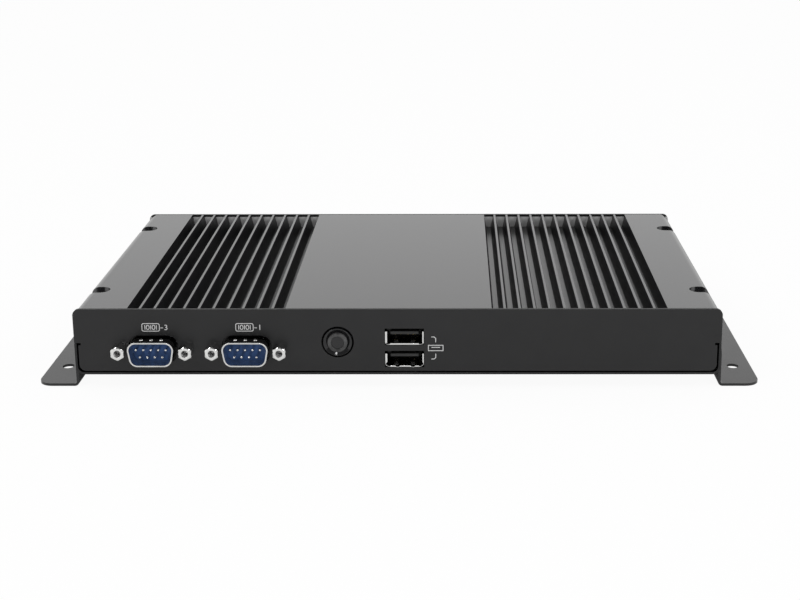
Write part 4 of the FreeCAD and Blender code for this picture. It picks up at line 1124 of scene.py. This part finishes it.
def light_world(scene, settings):
    """Even light from all round; reflections show a darker ceiling and a darker room behind the camera."""
    scene.world = bpy.data.worlds.new("soft_light")
    scene.world.use_nodes = True
    tree = scene.world.node_tree
    coordinates = add_node(tree, "ShaderNodeTexCoord").outputs["Generated"]
    direction = add_node(tree, "ShaderNodeSeparateXYZ", Vector=coordinates).outputs
    dimmed = []
    for axis, start, end, low, high in (
            ("Z", 0.4, 0.62, 1.0, settings.ceiling), ("Y", -0.85, -0.5, settings.room, 1.0)):
        ramp = add_node(tree, "ShaderNodeMapRange", Value=direction[axis], From_Min=start, From_Max=end,
                        To_Min=low, To_Max=high)
        ramp.interpolation_type = "SMOOTHSTEP"
        dimmed.append(ramp.outputs[0])
    path = add_node(tree, "ShaderNodeLightPath").outputs
    around = worked_out(tree, "MULTIPLY", *dimmed)
    level = settings.sky
    for ray, value in (("Glossy", around), ("Transmission", 1.0), ("Camera", 1.0)):
        mix = add_node(tree, "ShaderNodeMix", Factor=path["Is " + ray + " Ray"], A=level, B=value)
        level = mix.outputs["Result"]
    fill(tree, tree.nodes["Background"], {"Color": (1, 1, 1, 1), "Strength": level})


def lay_floor(settings):
    """Pale floor that shines by itself towards the camera, and a little in reflections."""
    mesh = bpy.data.meshes.new("floor")
    mesh.from_pydata([(-4, -4, 0), (-4, 4, 0), (4, -4, 0), (4, 4, 0)], [], [(0, 2, 3, 1)])
    floor = add_object("floor", mesh)
    material = bpy.data.materials.new("pale_floor")
    material.use_nodes = True
    tree = material.node_tree
    shader = tree.nodes["Principled BSDF"]
    fill(tree, shader, {"Base_Color": (0.9, 0.9, 0.9, 1), "Roughness": 0.9, "Specular_IOR_Level": 0.1})
    glow = add_node(tree, "ShaderNodeEmission", Color=(1, 1, 1, 1))
    ray = add_node(tree, "ShaderNodeLightPath").outputs
    seen = worked_out(tree, "MULTIPLY", ray["Is Camera Ray"], settings.floor_light)
    mirrored = worked_out(tree, "MULTIPLY", ray["Is Glossy Ray"], settings.floor_mirrored)
    mix = add_node(tree, "ShaderNodeMixShader", Fac=worked_out(tree, "MAXIMUM", seen, mirrored))
    fill(tree, mix, {1: shader.outputs[0], 2: glow.outputs[0]})
    fill(tree, tree.nodes["Material Output"], {"Surface": mix.outputs[0]})
    mesh.materials.append(material)


def hang_soft_box(name, place, size, power):
    """Square lamp that looks at the middle of the floor."""
    light = bpy.data.lights.new(name, "AREA")
    light.size = size
    light.energy = power
    lamp = add_object(name, light)
    lamp.location = place
    lamp.rotation_mode = "QUATERNION"
    lamp.rotation_quaternion = (-Vector(place)).to_track_quat("-Z", "Y")


class COMPUTER_OT_studio(bpy.types.Operator):
    """Set up the camera, the pale floor and the soft light"""

    bl_idname = "computer.studio"
    bl_label = "Studio"

    def execute(self, context):
        settings = context.scene.computer_studio
        context.scene.view_settings.view_transform = "Standard"
        aim_camera(context.scene, settings)
        light_world(context.scene, settings)
        lay_floor(settings)
        hang_soft_box("soft_box_left", (-0.9, -0.7, 1.0), 0.5, 4.0)
        hang_soft_box("soft_box_right", (1.0, -0.7, 1.0), 0.5, 5.0)
        hang_soft_box("soft_box_front", (-0.01, -1.38, 0.47), 0.1, 0.8)
        return {"FINISHED"}


# ------------------------------------------------------------ panel and registration


class COMPUTER_PT_panel(bpy.types.Panel):
    """Buttons for each group of pieces"""

    bl_label = "Computer"
    bl_idname = "COMPUTER_PT_panel"
    bl_space_type = "VIEW_3D"
    bl_region_type = "UI"
    bl_category = "Computer"

    def draw(self, context):
        for operator in OPERATORS:
            self.layout.operator(operator.bl_idname)
        for name in SETTINGS:
            group = getattr(context.scene, name)
            box = self.layout.box()
            for key in group.bl_rna.properties.keys():
                if key not in ("rna_type", "name"):
                    box.prop(group, key)


SETTINGS = {
    "computer_finish": FinishSettings,
    "computer_screws": ScrewSettings,
    "computer_sockets": SocketSettings,
    "computer_button": ButtonSettings,
    "computer_marks": MarkSettings,
    "computer_studio": StudioSettings,
}
OPERATORS = (
    COMPUTER_OT_finishes,
    COMPUTER_OT_screws,
    COMPUTER_OT_serial_ports,
    COMPUTER_OT_usb_contacts,
    COMPUTER_OT_button,
    COMPUTER_OT_rear_contacts,
    COMPUTER_OT_marks,
    COMPUTER_OT_studio,
)


def register():
    for group in SETTINGS.values():
        bpy.utils.register_class(group)
    for operator in OPERATORS:
        bpy.utils.register_class(operator)
    bpy.utils.register_class(COMPUTER_PT_panel)
    for name, group in SETTINGS.items():
        setattr(bpy.types.Scene, name, PointerProperty(type=group))


def unregister():
    for name in SETTINGS:
        delattr(bpy.types.Scene, name)
    bpy.utils.unregister_class(COMPUTER_PT_panel)
    for operator in reversed(OPERATORS):
        bpy.utils.unregister_class(operator)
    for group in SETTINGS.values():
        bpy.utils.unregister_class(group)


def main():
    register()
    bpy.ops.computer.finishes()
    bpy.ops.computer.screws()
    bpy.ops.computer.serial_ports()
    bpy.ops.computer.usb_contacts()
    bpy.ops.computer.button()
    bpy.ops.computer.rear_contacts()
    bpy.ops.computer.marks()
    bpy.ops.computer.studio()
    bpy.context.view_layer.update()


if __name__ == "__main__":
    main()
